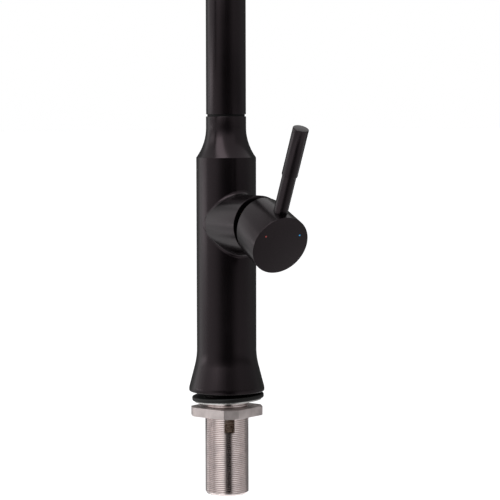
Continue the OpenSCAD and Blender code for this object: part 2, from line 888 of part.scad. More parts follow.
module ferrule(flange_low) {
    // crimped sleeve over the hose's end, closed down to the hose's bore
    difference() {
        rod_shape(ferrule_r, ferrule_l);
        translate([0, 0, flange_low]) rod_shape(hose_r + fix_gap, ferrule_l);
        translate([0, 0, -1]) rod_shape(hose_bore / 2, ferrule_l + 2);
    }
}

module hose_inlet_ferrule() {
    color("#c0bab6") translate([0, 0, riser_top]) ferrule(1);
}

module hose_outlet_ferrule() {
    color("#c0bab6") at_spray() translate([0, 0, outlet_ferrule_bottom]) ferrule(1);
}

module spring_collar() {
    color("#262426") at_spray() translate([0, 0, spring_collar_bottom]) difference() {
        rod_shape(spring_r + collar_wall / 2, collar_web + collar_cup);
        translate([0, 0, -1]) rod_shape(ferrule_r + fix_gap, collar_web + 2);
        translate([0, 0, collar_web]) rod_shape(spring_r + fix_gap, collar_cup + 1);
    }
}

module holder_arm() {
    color("#262426")
    difference() {
        union() {
            // clamp round the riser, with an ear for its screw
            translate([0, 0, arm_h - clamp_h / 2]) rod_shape(riser_r + clamp_wall, clamp_h);
            translate([-ear_w / 2, 0, arm_h - clamp_h / 2])
                cube([ear_w, ear_screw_y + screw_d / 2 + ear_wall, clamp_h]);
            // arm
            translate([0, -riser_r - 1, arm_h]) rotate([90, 0, 0])
                rod_shape(arm_d / 2, reach - riser_r - clip_r - 2);
            // spring clip round the spray head's neck
            at_spray() translate([0, 0, arm_h - clamp_h / 2])
                rotate([0, 0, 90 - (360 - clip_open) / 2])
                rotate_extrude(angle = 360 - clip_open, $fn = smooth)
                    translate([clip_r, 0]) square([clamp_wall, clamp_h]);
        }
        translate([0, 0, arm_h - clamp_h / 2 - 1]) rod_shape(riser_r + fix_gap, clamp_h + 2);
        at_spray() translate([0, 0, arm_h - clamp_h / 2 - 1]) rod_shape(clip_r, clamp_h + 2);
        // split in the clamp, and the screw's bore
        translate([-ear_split / 2, 0, arm_h - clamp_h / 2 - 1])
            cube([ear_split, 2 * ear_screw_y, clamp_h + 2]);
        translate([-ear_w / 2 - 1, ear_screw_y, arm_h]) rotate([0, 90, 0])
            rod_shape(screw_d / 2 + fix_gap, ear_w + 2);
    }
}

module clamp_screw() {
    color("#8a8a8a") translate([-ear_w / 2, ear_screw_y, arm_h]) rotate([0, 90, 0]) grub_screw(ear_w);
}

// Spray head
module spray_outline() {
    polygon([
        [0, spray_bottom],
        [spray_face_r, spray_bottom],
        [spray_face_r, spray_bottom + spray_edge_h],
        [spray_grip_r, spray_bottom + spray_flare_h],
        [spray_grip_r, spray_neck_bottom - spray_cone_h],
        [spray_neck_r, spray_neck_bottom],
        [spray_neck_r, spray_top],
        [0, spray_top]
    ]);
}

module spray_body() {
    color("#262426")
    at_spray() difference() {
        union() {
            rotate_extrude($fn = smooth) spray_outline();
            // two lugs that carry the trigger's pin
            for (side = [-1, 1])
                translate([side * (lug_place + lug_t / 2) - lug_t / 2, -pivot_out - lug_r, pivot_h - lug_r])
                    cube([lug_t, pivot_out, 2 * lug_r]);
        }
        // socket that turns on the hose's ferrule, and the way down
        translate([0, 0, outlet_ferrule_bottom - free_gap])
            rod_shape(ferrule_r + run_gap, ferrule_seat + 2);
        translate([0, 0, plunger_h]) rod_shape(spray_bore_r, outlet_ferrule_bottom - plunger_h);
        translate([0, 0, spray_bottom + face_plate_t]) rod_shape(spray_bore_r, plunger_h - spray_bottom);
        // valve chamber, and the plunger's guide
        translate([0, chamber_half, plunger_h]) rotate([90, 0, 0]) rod_shape(chamber_r, 2 * chamber_half);
        translate([0, 0, plunger_h]) rotate([90, 0, 0]) rod_shape(plunger_r + run_gap, spray_face_r);
        // hollow behind the face, the face's seat and the bumper's rebate
        translate([0, 0, spray_bottom + face_plate_t - eps])
            rod_shape(face_r - 2, face_cavity_h);
        translate([0, 0, spray_bottom - 1]) rod_shape(face_r + fix_gap, face_plate_t + 1);
        translate([0, 0, spray_bottom - bumper_stand])
            ring(spray_face_r + 1, spray_face_r - bumper_w / 2, bumper_h);
        translate([-spray_face_r, -pivot_out, pivot_h]) rotate([0, 90, 0])
            rod_shape(trigger_pin_r + fix_gap, 2 * spray_face_r);
    }
}

module spray_face() {
    color("#3b3b3d")
    at_spray() translate([0, 0, spray_bottom]) difference() {
        rod_shape(face_r, face_plate_t);
        translate([0, 0, -1]) rod_shape(core_d / 2, face_plate_t + 2);
        for (i = [0 : jets - 1])
            rotate([0, 0, i * 360 / jets]) translate([face_r - jet_inset, 0, -1])
                cylinder(d = jet_d, h = face_plate_t + 2, $fn = smooth / 4);
    }
}

module face_bumper() {
    color("#141414")
    at_spray() translate([0, 0, spray_bottom - bumper_stand])
        ring(spray_face_r + 0.6, spray_face_r - bumper_w / 2 + fix_gap, bumper_h);
}

module trigger_pin() {
    half = lug_place + lug_t;
    color("#c0c0c0")
    at_spray() translate([-half, -pivot_out, pivot_h]) rotate([0, 90, 0])
        rod_shape(trigger_pin_r, 2 * half);
}

module trigger() {
    color("#262426")
    at_spray() translate([0, -pivot_out, pivot_h]) rotate([-trigger_rest_tilt, 0, 0]) difference() {
        union() {
            translate([-trigger_w / 2, 0, 0]) rotate([0, 90, 0]) rod_shape(trigger_eye_r, trigger_w);
            translate([-trigger_w / 2, -trigger_eye_r, -trigger_l]) cube([trigger_w, trigger_t, trigger_l]);
            translate([-trigger_w / 2, trigger_t / 2 - trigger_eye_r, -trigger_l]) rotate([0, 90, 0])
                rod_shape(trigger_t, trigger_w);
        }
        translate([-trigger_w, 0, 0]) rotate([0, 90, 0]) rod_shape(trigger_pin_r + run_gap, 2 * trigger_w);
    }
}

module plunger() {
    // its tip stands just clear of the trigger's inner face
    face_out = pivot_out + (trigger_eye_r - trigger_t) / cos(trigger_rest_tilt)
        + (plunger_drop - plunger_r) * tan(trigger_rest_tilt) - free_gap;
    color("#c0c0c0")
    at_spray() translate([0, 0, plunger_h]) rotate([90, 0, 0]) union() {
        translate([0, 0, chamber_half - free_gap - plunger_head_t])
            rod_shape(chamber_r - free_gap, plunger_head_t);
        translate([0, 0, chamber_half - free_gap - eps])
            rod_shape(plunger_r, face_out - chamber_half + free_gap);
    }
}

module plunger_spring() {
    color("#c0c0c0")
    at_spray() translate([0, chamber_half, plunger_h]) rotate([90, 0, 0])
        ring(return_spring_r, return_spring_r - 0.8, 2 * chamber_half - free_gap - plunger_head_t);
}

body();
shank();
base_ring();
base_seal();
valve_block();
mixed_water_pipe();
cartridge_casing();
cartridge_base();
cartridge_seals();
fixed_disc();
retaining_nut();
moving_disc();
disc_carrier();
turret();
stem_pin();
stem();
cap();
cap_screw();
rod();
grip();
hot_mark();
cold_mark();
rubber_washer();
steel_washer();
mounting_nut();
glide_ring();
swivel_screw();
riser();
spigot();
spigot_seals();
riser_plug();
top_collar();
spring();
hose();
hose_inlet_ferrule();
hose_outlet_ferrule();
spring_collar();
holder_arm();
clamp_screw();
spray_body();
spray_face();
face_bumper();
trigger_pin();
trigger();
plunger();
plunger_spring();
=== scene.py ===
import math

import bmesh
import bpy
from mathutils import Matrix, Vector


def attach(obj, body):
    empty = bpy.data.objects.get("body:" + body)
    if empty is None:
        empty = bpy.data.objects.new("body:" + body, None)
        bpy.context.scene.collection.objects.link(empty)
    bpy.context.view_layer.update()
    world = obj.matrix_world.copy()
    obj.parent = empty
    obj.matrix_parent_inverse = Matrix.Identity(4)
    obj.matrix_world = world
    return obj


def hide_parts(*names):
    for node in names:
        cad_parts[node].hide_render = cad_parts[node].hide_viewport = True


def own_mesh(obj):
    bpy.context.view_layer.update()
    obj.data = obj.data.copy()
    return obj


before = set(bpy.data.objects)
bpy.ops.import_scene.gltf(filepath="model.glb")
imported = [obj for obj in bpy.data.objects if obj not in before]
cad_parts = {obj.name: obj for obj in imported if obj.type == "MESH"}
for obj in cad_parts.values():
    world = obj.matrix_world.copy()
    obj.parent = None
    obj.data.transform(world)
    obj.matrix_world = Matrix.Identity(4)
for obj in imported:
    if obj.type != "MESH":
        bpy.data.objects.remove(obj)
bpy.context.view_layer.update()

# ------------------------------------------------------------
# Threaded shank. A nickel plated brass tube with an M34 x 1.5 thread cut along its whole length. It is
# screwed into the foot, passes the tap hole, and a window milled in its side lets a hose out. Every piece
# is drawn in millimetres and brought to metres when it is finished.
# ------------------------------------------------------------
MM = 0.001
WELD = 1e-4
SLIVER = 1e-5
SHANK_R = 17.0
SHANK_BORE_R = 13.0
SHANK_LOW = -80.8
SHANK_HIGH = 14.0
SHANK_CHAMFER = 0.8
THREAD_PITCH = 1.5
THREAD_DEPTH = 0.64
SPARE_TURNS = 2
WINDOW_TURN = math.radians(-23)
WINDOW_LOW = -31.6
WINDOW_HIGH = -19.0
WINDOW_WIDE = 8.0
WINDOW_NEAR = 4.0
WINDOW_FAR = 23.0
INSIDE_R = 16.2
RIM_H = 1.3


def rounded_path(corners, closed, steps):
    """Points of an outline whose corners (across, along, radius) are eased into arcs."""
    path = []
    for i, (across, along, radius) in enumerate(corners):
        here = Vector((across, along))
        if radius <= 0 or (not closed and i in (0, len(corners) - 1)):
            path.append(here)
            continue
        before = Vector(corners[i - 1][:2]) - here
        after = Vector(corners[(i + 1) % len(corners)][:2]) - here
        half = before.angle(after) / 2
        reach = min(radius / math.tan(half), before.length * 0.49, after.length * 0.49)
        eased = reach * math.tan(half)
        middle = here + (before.normalized() + after.normalized()).normalized() * (eased / math.sin(half))
        first = here + before.normalized() * reach - middle
        last = here + after.normalized() * reach - middle
        path += [middle + swung(first, last, k / steps) for k in range(steps + 1)]
    return path


def swung(first, last, share):
    """An arm of an arc, a share of the way from its first to its last arm."""
    turn = first.angle(last)
    return (first * math.sin((1 - share) * turn) + last * math.sin(share * turn)) / math.sin(turn)


def skinned(work, rings, edges, whole=True):
    """Faces between each ring of points and the next, and back to the first where the round is whole."""
    for here, there in zip(rings, rings[1:] + rings[:1] if whole else rings[1:]):
        for j in range(edges):
            k = (j + 1) % len(here)
            work.faces.new((here[j], there[j], there[k], here[k]))


def turned(work, corners, place=Matrix(), closed=True, around=96, steps=4, start=0.0, arc=360.0):
    """Turns an outline (radius, height, edge radius) about the local Z axis, as on a lathe."""
    path = rounded_path(corners, closed, steps)
    whole = arc >= 360
    rings = []
    for i in range(around if whole else around + 1):
        angle = math.radians(start + arc * i / around)
        spoke = Vector((math.cos(angle), math.sin(angle), 0))
        rings.append([work.verts.new(place @ (spoke * p.x + Vector((0, 0, p.y)))) for p in path])
    skinned(work, rings, len(path) if closed else len(path) - 1, whole)
    if not whole:
        work.faces.new(rings[0])
        work.faces.new(rings[-1][::-1])


def block(work, low, high, easing, place=Matrix(), segments=3):
    """A block from corner to corner with eased edges."""
    size = Vector(high) - Vector(low)
    made = bmesh.ops.create_cube(work, size=1)["verts"]
    for v in made:
        v.co = Vector(low) + Vector((v.co[i] + 0.5) * size[i] for i in range(3))
    edges = list(dict.fromkeys(e for v in made for e in v.link_edges))
    eased = bmesh.ops.bevel(work, geom=edges, offset=easing, segments=segments, profile=0.5, affect="EDGES")
    for v in {v for f in eased["faces"] for v in f.verts}:
        v.co = place @ v.co


def placed(name, data):
    """A new object in the scene that holds a mesh, a lamp or a camera."""
    made = bpy.data.objects.new(name, data)
    bpy.context.scene.collection.objects.link(made)
    return made


def finished(work, name, finish, body, *stands_for, sharp=32):
    """Cleans the work, brings it to metres, gives it its finish and hangs it on its body."""
    bmesh.ops.remove_doubles(work, verts=work.verts, dist=WELD)
    bmesh.ops.dissolve_degenerate(work, edges=work.edges, dist=SLIVER)
    bmesh.ops.recalc_face_normals(work, faces=work.faces)
    bmesh.ops.scale(work, vec=(MM, MM, MM), verts=work.verts)
    mesh = bpy.data.meshes.new(name)
    work.to_mesh(mesh)
    work.free()
    mesh.shade_smooth()
    mesh.set_sharp_from_angle(angle=math.radians(sharp))
    mesh.materials.append(finish)
    piece = placed(name, mesh)
    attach(piece, body)
    if stands_for:
        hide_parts(*stands_for)
    return piece


def cut(piece, work, how="DIFFERENCE"):
    """Cuts a piece with the closed work, or keeps only what both share."""
    tool_mesh = bpy.data.meshes.new("cutter")
    bmesh.ops.scale(work, vec=(MM, MM, MM), verts=work.verts)
    bmesh.ops.recalc_face_normals(work, faces=work.faces)
    work.to_mesh(tool_mesh)
    work.free()
    tool = placed("cutter", tool_mesh)
    step = piece.modifiers.new("cut", "BOOLEAN")
    step.operation = how
    step.object = tool
    step.solver = "EXACT"
    bpy.context.view_layer.objects.active = piece
    with bpy.context.temp_override(object=piece, active_object=piece):
        bpy.ops.object.modifier_apply(modifier="cut")
    bpy.data.objects.remove(tool)
    bpy.data.meshes.remove(tool_mesh)


class Finish:
    """A material whose colour, roughness and relief vary over the piece's own coordinates in metres."""

    def __init__(self, name, metallic=0.0, gloss=0.5):
        self.material = bpy.data.materials.new(name)
        self.material.use_nodes = True
        self.nodes, self.links = self.material.node_tree.nodes, self.material.node_tree.links
        self.shader = self.nodes["Principled BSDF"]
        self.shader.inputs["Metallic"].default_value = metallic
        self.shader.inputs["Specular IOR Level"].default_value = gloss
        self.place = self.nodes.new("ShaderNodeTexCoord").outputs["Object"]

    def cloud(self, scale, detail, rough=0.55, grain=None):
        """Soft irregular variation from 0 to 1, drawn out where grain scales X, Y and Z unequally."""
        place = self.place
        if grain:
            mapping = self.nodes.new("ShaderNodeMapping")
            mapping.inputs["Scale"].default_value = grain
            self.links.new(place, mapping.inputs["Vector"])
            place = mapping.outputs["Vector"]
        noise = self.nodes.new("ShaderNodeTexNoise")
        noise.inputs["Scale"].default_value = scale
        noise.inputs["Detail"].default_value = detail
        noise.inputs["Roughness"].default_value = rough
        self.links.new(place, noise.inputs["Vector"])
        return noise.outputs["Fac"]

    def colour(self, share, dark, light):
        """The colour runs from dark to light with the variation."""
        ramp = self.nodes.new("ShaderNodeValToRGB")
        first, last = ramp.color_ramp.elements
        first.position, first.color = 0.35, (*dark, 1)
        last.position, last.color = 0.65, (*light, 1)
        self.links.new(share, ramp.inputs["Fac"])
        self.links.new(ramp.outputs["Color"], self.shader.inputs["Base Color"])

    def roughness(self, share, low, high, start=0.35, end=0.65):
        """The roughness runs from low to high as the variation runs from start to end."""
        ramp = self.nodes.new("ShaderNodeMapRange")
        for socket, value in (("From Min", start), ("From Max", end), ("To Min", low), ("To Max", high)):
            ramp.inputs[socket].default_value = value
        self.links.new(share, ramp.inputs["Value"])
        self.links.new(ramp.outputs["Result"], self.shader.inputs["Roughness"])

    def relief(self, share, strength, depth):
        """Fine relief in the surface, its depth in metres."""
        bump = self.nodes.new("ShaderNodeBump")
        bump.inputs["Strength"].default_value = strength
        bump.inputs["Distance"].default_value = depth
        self.links.new(share, bump.inputs["Height"])
        self.links.new(bump.outputs["Normal"], self.shader.inputs["Normal"])


def turned_nickel():
    """Bright nickel over turned brass: faint tool rings, slightly warm."""
    finish = Finish("turned_nickel", metallic=1.0)
    rings = finish.cloud(1.0, 2.0, grain=(60, 60, 9000))
    finish.colour(finish.cloud(160.0, 5.0), (0.60, 0.535, 0.525), (0.68, 0.605, 0.59))
    finish.roughness(rings, 0.09, 0.14)
    finish.relief(rings, 0.12, 0.00002)
    return finish.material


def drilled_brass():
    """Brass left bright by drill and cutter under a thin plating, with rings of tool marks."""
    finish = Finish("drilled_brass", metallic=1.0)
    rings = finish.cloud(1.0, 3.0, grain=(200, 200, 2500))
    finish.colour(rings, (0.55, 0.45, 0.40), (1.0, 0.95, 0.90))
    finish.roughness(rings, 0.12, 0.35)
    finish.relief(rings, 0.5, 0.0002)
    return finish.material


def thread_rows():
    """Heights and radii of one pitch of the thread: crest flat, flank, root flat, flank."""
    crest, root = SHANK_R, SHANK_R - THREAD_DEPTH
    shares = ((0.0, crest), (0.42, crest), (0.68, root), (0.74, root))
    return [(share * THREAD_PITCH, radius) for share, radius in shares]


def threaded_shank(columns=120):
    """The thread's rows climb round the tube as one helix, clamped at both ends to clean rims."""
    work = bmesh.new()
    low, high = SHANK_LOW + SHANK_CHAMFER, 0.0
    end_r = SHANK_R - SHANK_CHAMFER
    turns = int((high - low) / THREAD_PITCH) + 2 * SPARE_TURNS
    first = low - SPARE_TURNS * THREAD_PITCH
    rows = [(first + k * THREAD_PITCH + rise, r) for k in range(turns) for rise, r in thread_rows()]
    grid = []
    for i in range(columns):
        angle = 2 * math.pi * i / columns
        lead = THREAD_PITCH * i / columns
        line = []
        for rise, radius in rows:
            height = rise + lead
            if height <= low:
                height, radius = low, end_r
            elif height >= high:
                height, radius = high, SHANK_R
            radius = min(radius, end_r + (height - low))
            line.append(work.verts.new((radius * math.cos(angle), radius * math.sin(angle), height)))
        grid.append(line)
    for i in range(columns):
        here, there = grid[i], grid[(i + 1) % columns]
        shift = len(thread_rows()) if i == columns - 1 else 0
        for j in range(len(rows) - 1 - shift):
            work.faces.new((here[j], there[j + shift], there[j + shift + 1], here[j + 1]))
    bmesh.ops.remove_doubles(work, verts=work.verts, dist=WELD)
    bmesh.ops.dissolve_degenerate(work, edges=work.edges, dist=SLIVER)
    inside = [(end_r, low, 0), (end_r - 0.4, SHANK_LOW, 0), (SHANK_BORE_R + 0.5, SHANK_LOW, 0.2),
              (SHANK_BORE_R, SHANK_LOW + 0.6, 0), (SHANK_BORE_R, SHANK_HIGH, 0), (SHANK_R, SHANK_HIGH, 0),
              (SHANK_R, high, 0)]
    turned(work, inside, closed=False, around=columns)
    return work


nickel = turned_nickel()
shank = finished(threaded_shank(), "shank_thread", nickel, "column", "shank", sharp=24)
opening = bmesh.new()
block(opening, (WINDOW_NEAR, -WINDOW_WIDE / 2, WINDOW_LOW), (WINDOW_FAR, WINDOW_WIDE / 2, WINDOW_HIGH), 0.5,
      Matrix.Rotation(WINDOW_TURN, 4, "Z"), 1)
cut(shank, opening)
shank.data.materials.append(drilled_brass())
for face in shank.data.polygons:
    if math.hypot(*face.center.xy) < INSIDE_R * MM and face.center.z > (SHANK_LOW + RIM_H) * MM:
        face.material_index = 1

# ------------------------------------------------------------
# Mounting nut. Sawn from nickel plated square brass bar with its four corners cut off and its lower edge
# turned to a chamfer. It runs up the shank's thread and clamps the washers against the deck from below.
# ------------------------------------------------------------
RUN = 0.08
NUT_LOW = -19.2
NUT_HIGH = -12.2
NUT_FLATS = 47.0
NUT_CORNER_R = 27.5
CHAMFER_OUT = 10.0
CHAMFER_UP = 6.5
TOOL_PAST = 5.0
HAIR = 0.001


def sawn_nickel():
    """The same plating over sawn and milled faces: fine upright scratches and a duller sheen."""
    finish = Finish("sawn_nickel", metallic=1.0)
    scratches = finish.cloud(1.0, 3.0, 0.7, grain=(1600, 1600, 40))
    finish.colour(finish.cloud(120.0, 4.0), (0.47, 0.42, 0.41), (0.60, 0.535, 0.525))
    finish.roughness(scratches, 0.38, 0.58, 0.3, 0.7)
    finish.relief(scratches, 0.30, 0.00005)
    return finish.material


def nut_bar():
    """A length of square bar with cut corners, stood on end."""
    half_cut = NUT_FLATS / math.sqrt(2) - NUT_CORNER_R
    turn = Matrix.Rotation(WINDOW_TURN, 4, "Z")
    outline = []
    for quarter in range(4):
        facing = Matrix.Rotation(quarter * math.pi / 2, 4, "Z")
        outline += [turn @ (facing @ Vector((NUT_CORNER_R, side, 0))) for side in (-half_cut, half_cut)]
    work = bmesh.new()
    lower, upper = ([work.verts.new(p + Vector((0, 0, height))) for p in outline]
                    for height in (NUT_LOW, NUT_HIGH))
    work.faces.new(lower[::-1])
    work.faces.new(upper)
    for i in range(8):
        k = (i + 1) % 8
        work.faces.new((lower[i], lower[k], upper[k], upper[i]))
    return work


def turning_tool(outline):
    """A closed turned body that another piece is cut with."""
    work = bmesh.new()
    turned(work, outline, closed=False, around=128)
    bmesh.ops.remove_doubles(work, verts=work.verts, dist=WELD)
    return work


nut = finished(nut_bar(), "mounting_nut_bar", sawn_nickel(), "nut", "mounting_nut")
cut(nut, turning_tool([(0, NUT_LOW - HAIR, 0), (NUT_CORNER_R, NUT_LOW - HAIR, 0),
                       (NUT_CORNER_R + CHAMFER_OUT, NUT_LOW + CHAMFER_UP, 0), (0, NUT_HIGH + TOOL_PAST, 0)]),
    "INTERSECT")
cut(nut, turning_tool([(0, NUT_LOW - TOOL_PAST, 0), (SHANK_R + RUN, NUT_LOW - TOOL_PAST, 0),
                       (SHANK_R + RUN, NUT_HIGH + TOOL_PAST, 0), (0, NUT_HIGH + TOOL_PAST, 0)]))
easing = nut.modifiers.new("eased_edges", "BEVEL")
easing.width = 0.35 * MM
easing.segments = 2
easing.limit_method = "ANGLE"
easing.angle_limit = math.radians(30)

# ------------------------------------------------------------
# Washers. A punched rubber washer with a zinc plated steel washer under it. Both are loose on the shank
# above the nut, so they hang a little tilted and off the middle until the nut presses them to the deck.
# ------------------------------------------------------------
WASHER_TURN = math.radians(-30.7)
WASHER_SHIFT = 1.0
WASHER_DROP = 6.4
WASHER_TILT = math.radians(2.7)
WASHER_BORE_R = 18.2
RUBBER_R = 28.1
RUBBER_T = 3.4
STEEL_R = 26.2
STEEL_T = 1.2
TO_WASHERS = (Matrix.Rotation(WASHER_TURN, 4, "Z") @ Matrix.Translation((0, WASHER_SHIFT, -WASHER_DROP))
              @ Matrix.Rotation(WASHER_TILT, 4, "X"))


def lathed(name, outline, finish, body, *stands_for, place=Matrix(), closed=True, around=96, sharp=32):
    """A piece that is one turned outline."""
    work = bmesh.new()
    turned(work, outline, place, closed, around)
    return finished(work, name, finish, body, *stands_for, sharp=sharp)


def black_rubber():
    """Matt black rubber with a dusty, finely pitted skin."""
    finish = Finish("black_rubber", gloss=0.28)
    dust = finish.cloud(420.0, 6.0)
    finish.colour(dust, (0.0016, 0.0015, 0.0015), (0.004, 0.0036, 0.0036))
    finish.roughness(dust, 0.42, 0.56)
    finish.relief(finish.cloud(3200.0, 2.0), 0.20, 0.00003)
    return finish.material


def zinc_steel():
    """Zinc plated steel with rolled grain."""
    finish = Finish("zinc_steel", metallic=1.0)
    grain = finish.cloud(1.0, 4.0, grain=(900, 90, 900))
    finish.colour(grain, (0.52, 0.51, 0.50), (0.70, 0.69, 0.67))
    finish.roughness(grain, 0.22, 0.40)
    finish.relief(grain, 0.2, 0.00003)
    return finish.material


rubber = black_rubber()
steel = zinc_steel()
lathed("rubber_washer_ring",
       [(WASHER_BORE_R, 0, 0.3), (RUBBER_R, 0, 1.1), (RUBBER_R, RUBBER_T, 0.9),
        (WASHER_BORE_R, RUBBER_T, 0.3)], rubber, "washers", "rubber_washer", place=TO_WASHERS)
lathed("steel_washer_ring",
       [(WASHER_BORE_R, -STEEL_T, 0.2), (STEEL_R, -STEEL_T, 0.35), (STEEL_R, 0, 0.15),
        (WASHER_BORE_R, 0, 0.15)], steel, "washers", "steel_washer", place=TO_WASHERS)

# ------------------------------------------------------------
# Foot ring and seal. A turned brass ring fills the recess under the flared foot, and a rubber ring in its
# groove stands 1.1 mm proud, to be pressed flat against the deck.
# ------------------------------------------------------------
FIT = 0.05
RING_R = 26.0
RING_T = 2.0
GROOVE_IN = 22.0
GROOVE_OUT = 25.0
GROOVE_TOP = 1.0
SEAL_LOW = -1.1
lathed("foot_ring", [(SHANK_R + FIT, 0, 0.2), (GROOVE_IN, 0, 0.1), (GROOVE_IN, GROOVE_TOP, 0),
                     (GROOVE_OUT, GROOVE_TOP, 0), (GROOVE_OUT, 0, 0.1), (RING_R, 0, 0.3),
                     (RING_R, RING_T, 0), (SHANK_R + FIT, RING_T, 0)], nickel, "column", "base_ring")
lathed("foot_seal", [(GROOVE_IN + FIT, SEAL_LOW, 0.5), (GROOVE_OUT - FIT, SEAL_LOW, 0.5),
                     (GROOVE_OUT - FIT, GROOVE_TOP, 0), (GROOVE_IN + FIT, GROOVE_TOP, 0)],
       rubber, "column", "base_seal")

# ------------------------------------------------------------
# Column with its valve housing. One brass casting, turned outside: flared foot, straight column, sharp
# shoulder and a hollow curve up to the neck. A small fillet runs round where the housing leaves it. It is
# powder coated satin black. The shank's first threads under the foot take the same black as painted shade,
# for the deep shade in the gap between the foot and the washers.
# ------------------------------------------------------------
BODY_R = 23.3
FOOT_R = 29.5
FOOT_EDGE = 3.0
FOOT_EDGE_R = 1.0
FLARE_ANGLE = 14.6
FLARE_CURVE_R = 55.0
SHOULDER_H = 182.6
COVE_H = 23.4
COLUMN_BORE_R = 20.7
COLUMN_BORE_TOP = 184.4
NECK_R = 15.6
NECK_TOP = 214.4
NECK_BORE_R = 10.98
VALVE_H = 131.5
HOUSING_R = 23.1
HOUSING_START = 8.0
HOUSING_REACH = 50.8
HOUSING_BORE_R = 19.0
CARTRIDGE_END = 44.0
CARTRIDGE_R = 17.5
FILLET_R = 3.2
PAINTED_SHADE_DEPTH = 4.5
TO_HOUSING = Matrix.Translation((0, 0, VALVE_H)) @ Matrix.Rotation(math.pi / 2, 4, "Y")


def black_powder_coat():
    """Satin black powder coat: nearly black, a soft even sheen and the faint orange peel of the cure."""
    finish = Finish("black_powder_coat", gloss=0.28)
    drift = finish.cloud(45.0, 4.0)
    finish.colour(drift, (0.0009, 0.0007, 0.0008), (0.0016, 0.0012, 0.0014))
    finish.roughness(drift, 0.225, 0.255)
    finish.relief(finish.cloud(1500.0, 2.0), 0.10, 0.00003)
    finish.shader.inputs["Specular Tint"].default_value = (1.0, 0.80, 0.88, 1)
    return finish.material


def bow(middle, radius, first, last, steps):
    """Points of an arc from one angle to another, in degrees, as corners with no easing."""
    angles = [math.radians(first + (last - first) * k / steps) for k in range(steps + 1)]
    return [(middle[0] + radius * math.cos(a), middle[1] + radius * math.sin(a), 0) for a in angles]


def column():
    """The turned outline of foot, column, shoulder and neck, closed through the bores inside."""
    work = bmesh.new()
    flare = math.radians(FLARE_ANGLE)
    curve_out = FLARE_CURVE_R * (1 - math.cos(flare))
    straight = (FOOT_R - BODY_R - curve_out) / math.tan(flare)
    flare_top = FOOT_EDGE + straight + FLARE_CURVE_R * math.sin(flare)
    cove_out = BODY_R - NECK_R
    cove_r = (COVE_H ** 2 + cove_out ** 2) / (2 * cove_out)
    lowest = 180 + math.degrees(math.asin(COVE_H / cove_r))
    outline = [(RING_R + FIT, 0, 0.15)]
    outline += bow((FOOT_R - FOOT_EDGE_R, FOOT_EDGE_R), FOOT_EDGE_R, -90, 0, 6) + [(FOOT_R, FOOT_EDGE, 7.0)]
    outline += bow((BODY_R + FLARE_CURVE_R, flare_top), FLARE_CURVE_R, 180 + FLARE_ANGLE, 180, 12)
    outline += [(BODY_R, SHOULDER_H, 0.35)]
    outline += bow((NECK_R + cove_r, SHOULDER_H + COVE_H), cove_r, lowest - 1.5, 180, 16)
    outline += [(NECK_R, NECK_TOP, 0.3), (NECK_BORE_R, NECK_TOP, 0.2), (NECK_BORE_R, COLUMN_BORE_TOP + 2, 0),
                (COLUMN_BORE_R, COLUMN_BORE_TOP, 0), (COLUMN_BORE_R, SHANK_HIGH, 0),
                (SHANK_R + FIT, SHANK_HIGH, 0), (SHANK_R + FIT, RING_T, 0), (RING_R + FIT, RING_T, 0)]
    turned(work, outline, around=160)
    return work


def meeting_fillet(around=160, steps=6):
    """A ball of the fillet's radius rolled along where column and housing meet leaves this hollow strip."""
    work = bmesh.new()
    far_column, far_housing = BODY_R + FILLET_R, HOUSING_R + FILLET_R
    rows = []
    for i in range(around):
        angle = 2 * math.pi * i / around
        side, up = far_housing * math.sin(angle), far_housing * math.cos(angle)
        ball = Vector((math.sqrt(far_column ** 2 - side ** 2), side, up))
        on_column = Vector((ball.x, ball.y, 0)) * (BODY_R / far_column) + Vector((0, 0, up))
        on_housing = Vector((ball.x, ball.y * HOUSING_R / far_housing, ball.z * HOUSING_R / far_housing))
        arms = [swung(on_column - ball, on_housing - ball, k / steps) for k in range(steps + 1)]
        rows.append([work.verts.new(ball + arm + Vector((0, 0, VALVE_H))) for arm in arms])
    skinned(work, rows, steps)
    return work


black = black_powder_coat()
finished(column(), "column_casting", black, "column", "body", sharp=20)
housing_mouth = [(HOUSING_R, HOUSING_START, 0), (HOUSING_R, HOUSING_REACH, 0.4),
                 (HOUSING_BORE_R + FIT, HOUSING_REACH, 0.3), (HOUSING_BORE_R + FIT, CARTRIDGE_END, 0),
                 (CARTRIDGE_R + FIT, CARTRIDGE_END, 0), (CARTRIDGE_R + FIT, HOUSING_START, 0)]
lathed("valve_housing", housing_mouth, black, "column", place=TO_HOUSING, around=160, sharp=20)
finished(meeting_fillet(), "housing_fillet", black, "column", sharp=80)
# Painted shade: the shank's threads just under the foot are coloured black for the shade in the gap between
# foot and washers.
shank.data.materials.append(black)
for face in shank.data.polygons:
    if face.center.z > -PAINTED_SHADE_DEPTH * MM:
        face.material_index = 2

# ------------------------------------------------------------
# Inside of the column: brass valve block with the two supply sockets, the pipe for mixed water, and the
# swivel screw that keeps the riser in the neck. Machined brass, and steel for the screw.
# ------------------------------------------------------------


def machined_brass():
    """Machined brass with tool rings and slight tarnish."""
    finish = Finish("machined_brass", metallic=1.0)
    rings = finish.cloud(1.0, 2.0, grain=(40, 40, 5000))
    finish.colour(finish.cloud(110.0, 6.0), (0.42, 0.28, 0.12), (0.70, 0.52, 0.27))
    finish.roughness(rings, 0.22, 0.42)
    finish.relief(rings, 0.25, 0.00003)
    return finish.material


def refinish(finish, *names):
    """A solid whose shape is right keeps it and only takes its finish."""
    for name in names:
        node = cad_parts[name]
        if node.material_slots:
            node.material_slots[0].material = finish
        else:
            node.data.materials.append(finish)


brass = machined_brass()
refinish(brass, "valve_block", "mixed_water_pipe", "retaining_nut", "spigot", "riser_plug")
refinish(steel, "swivel_screw")

# ------------------------------------------------------------
# Cartridge. Moulded casing and base, two lapped ceramic discs with the carrier that slides the upper one,
# rubber seals, and the turret that turns in the casing with the stem's pin across it.
# ------------------------------------------------------------


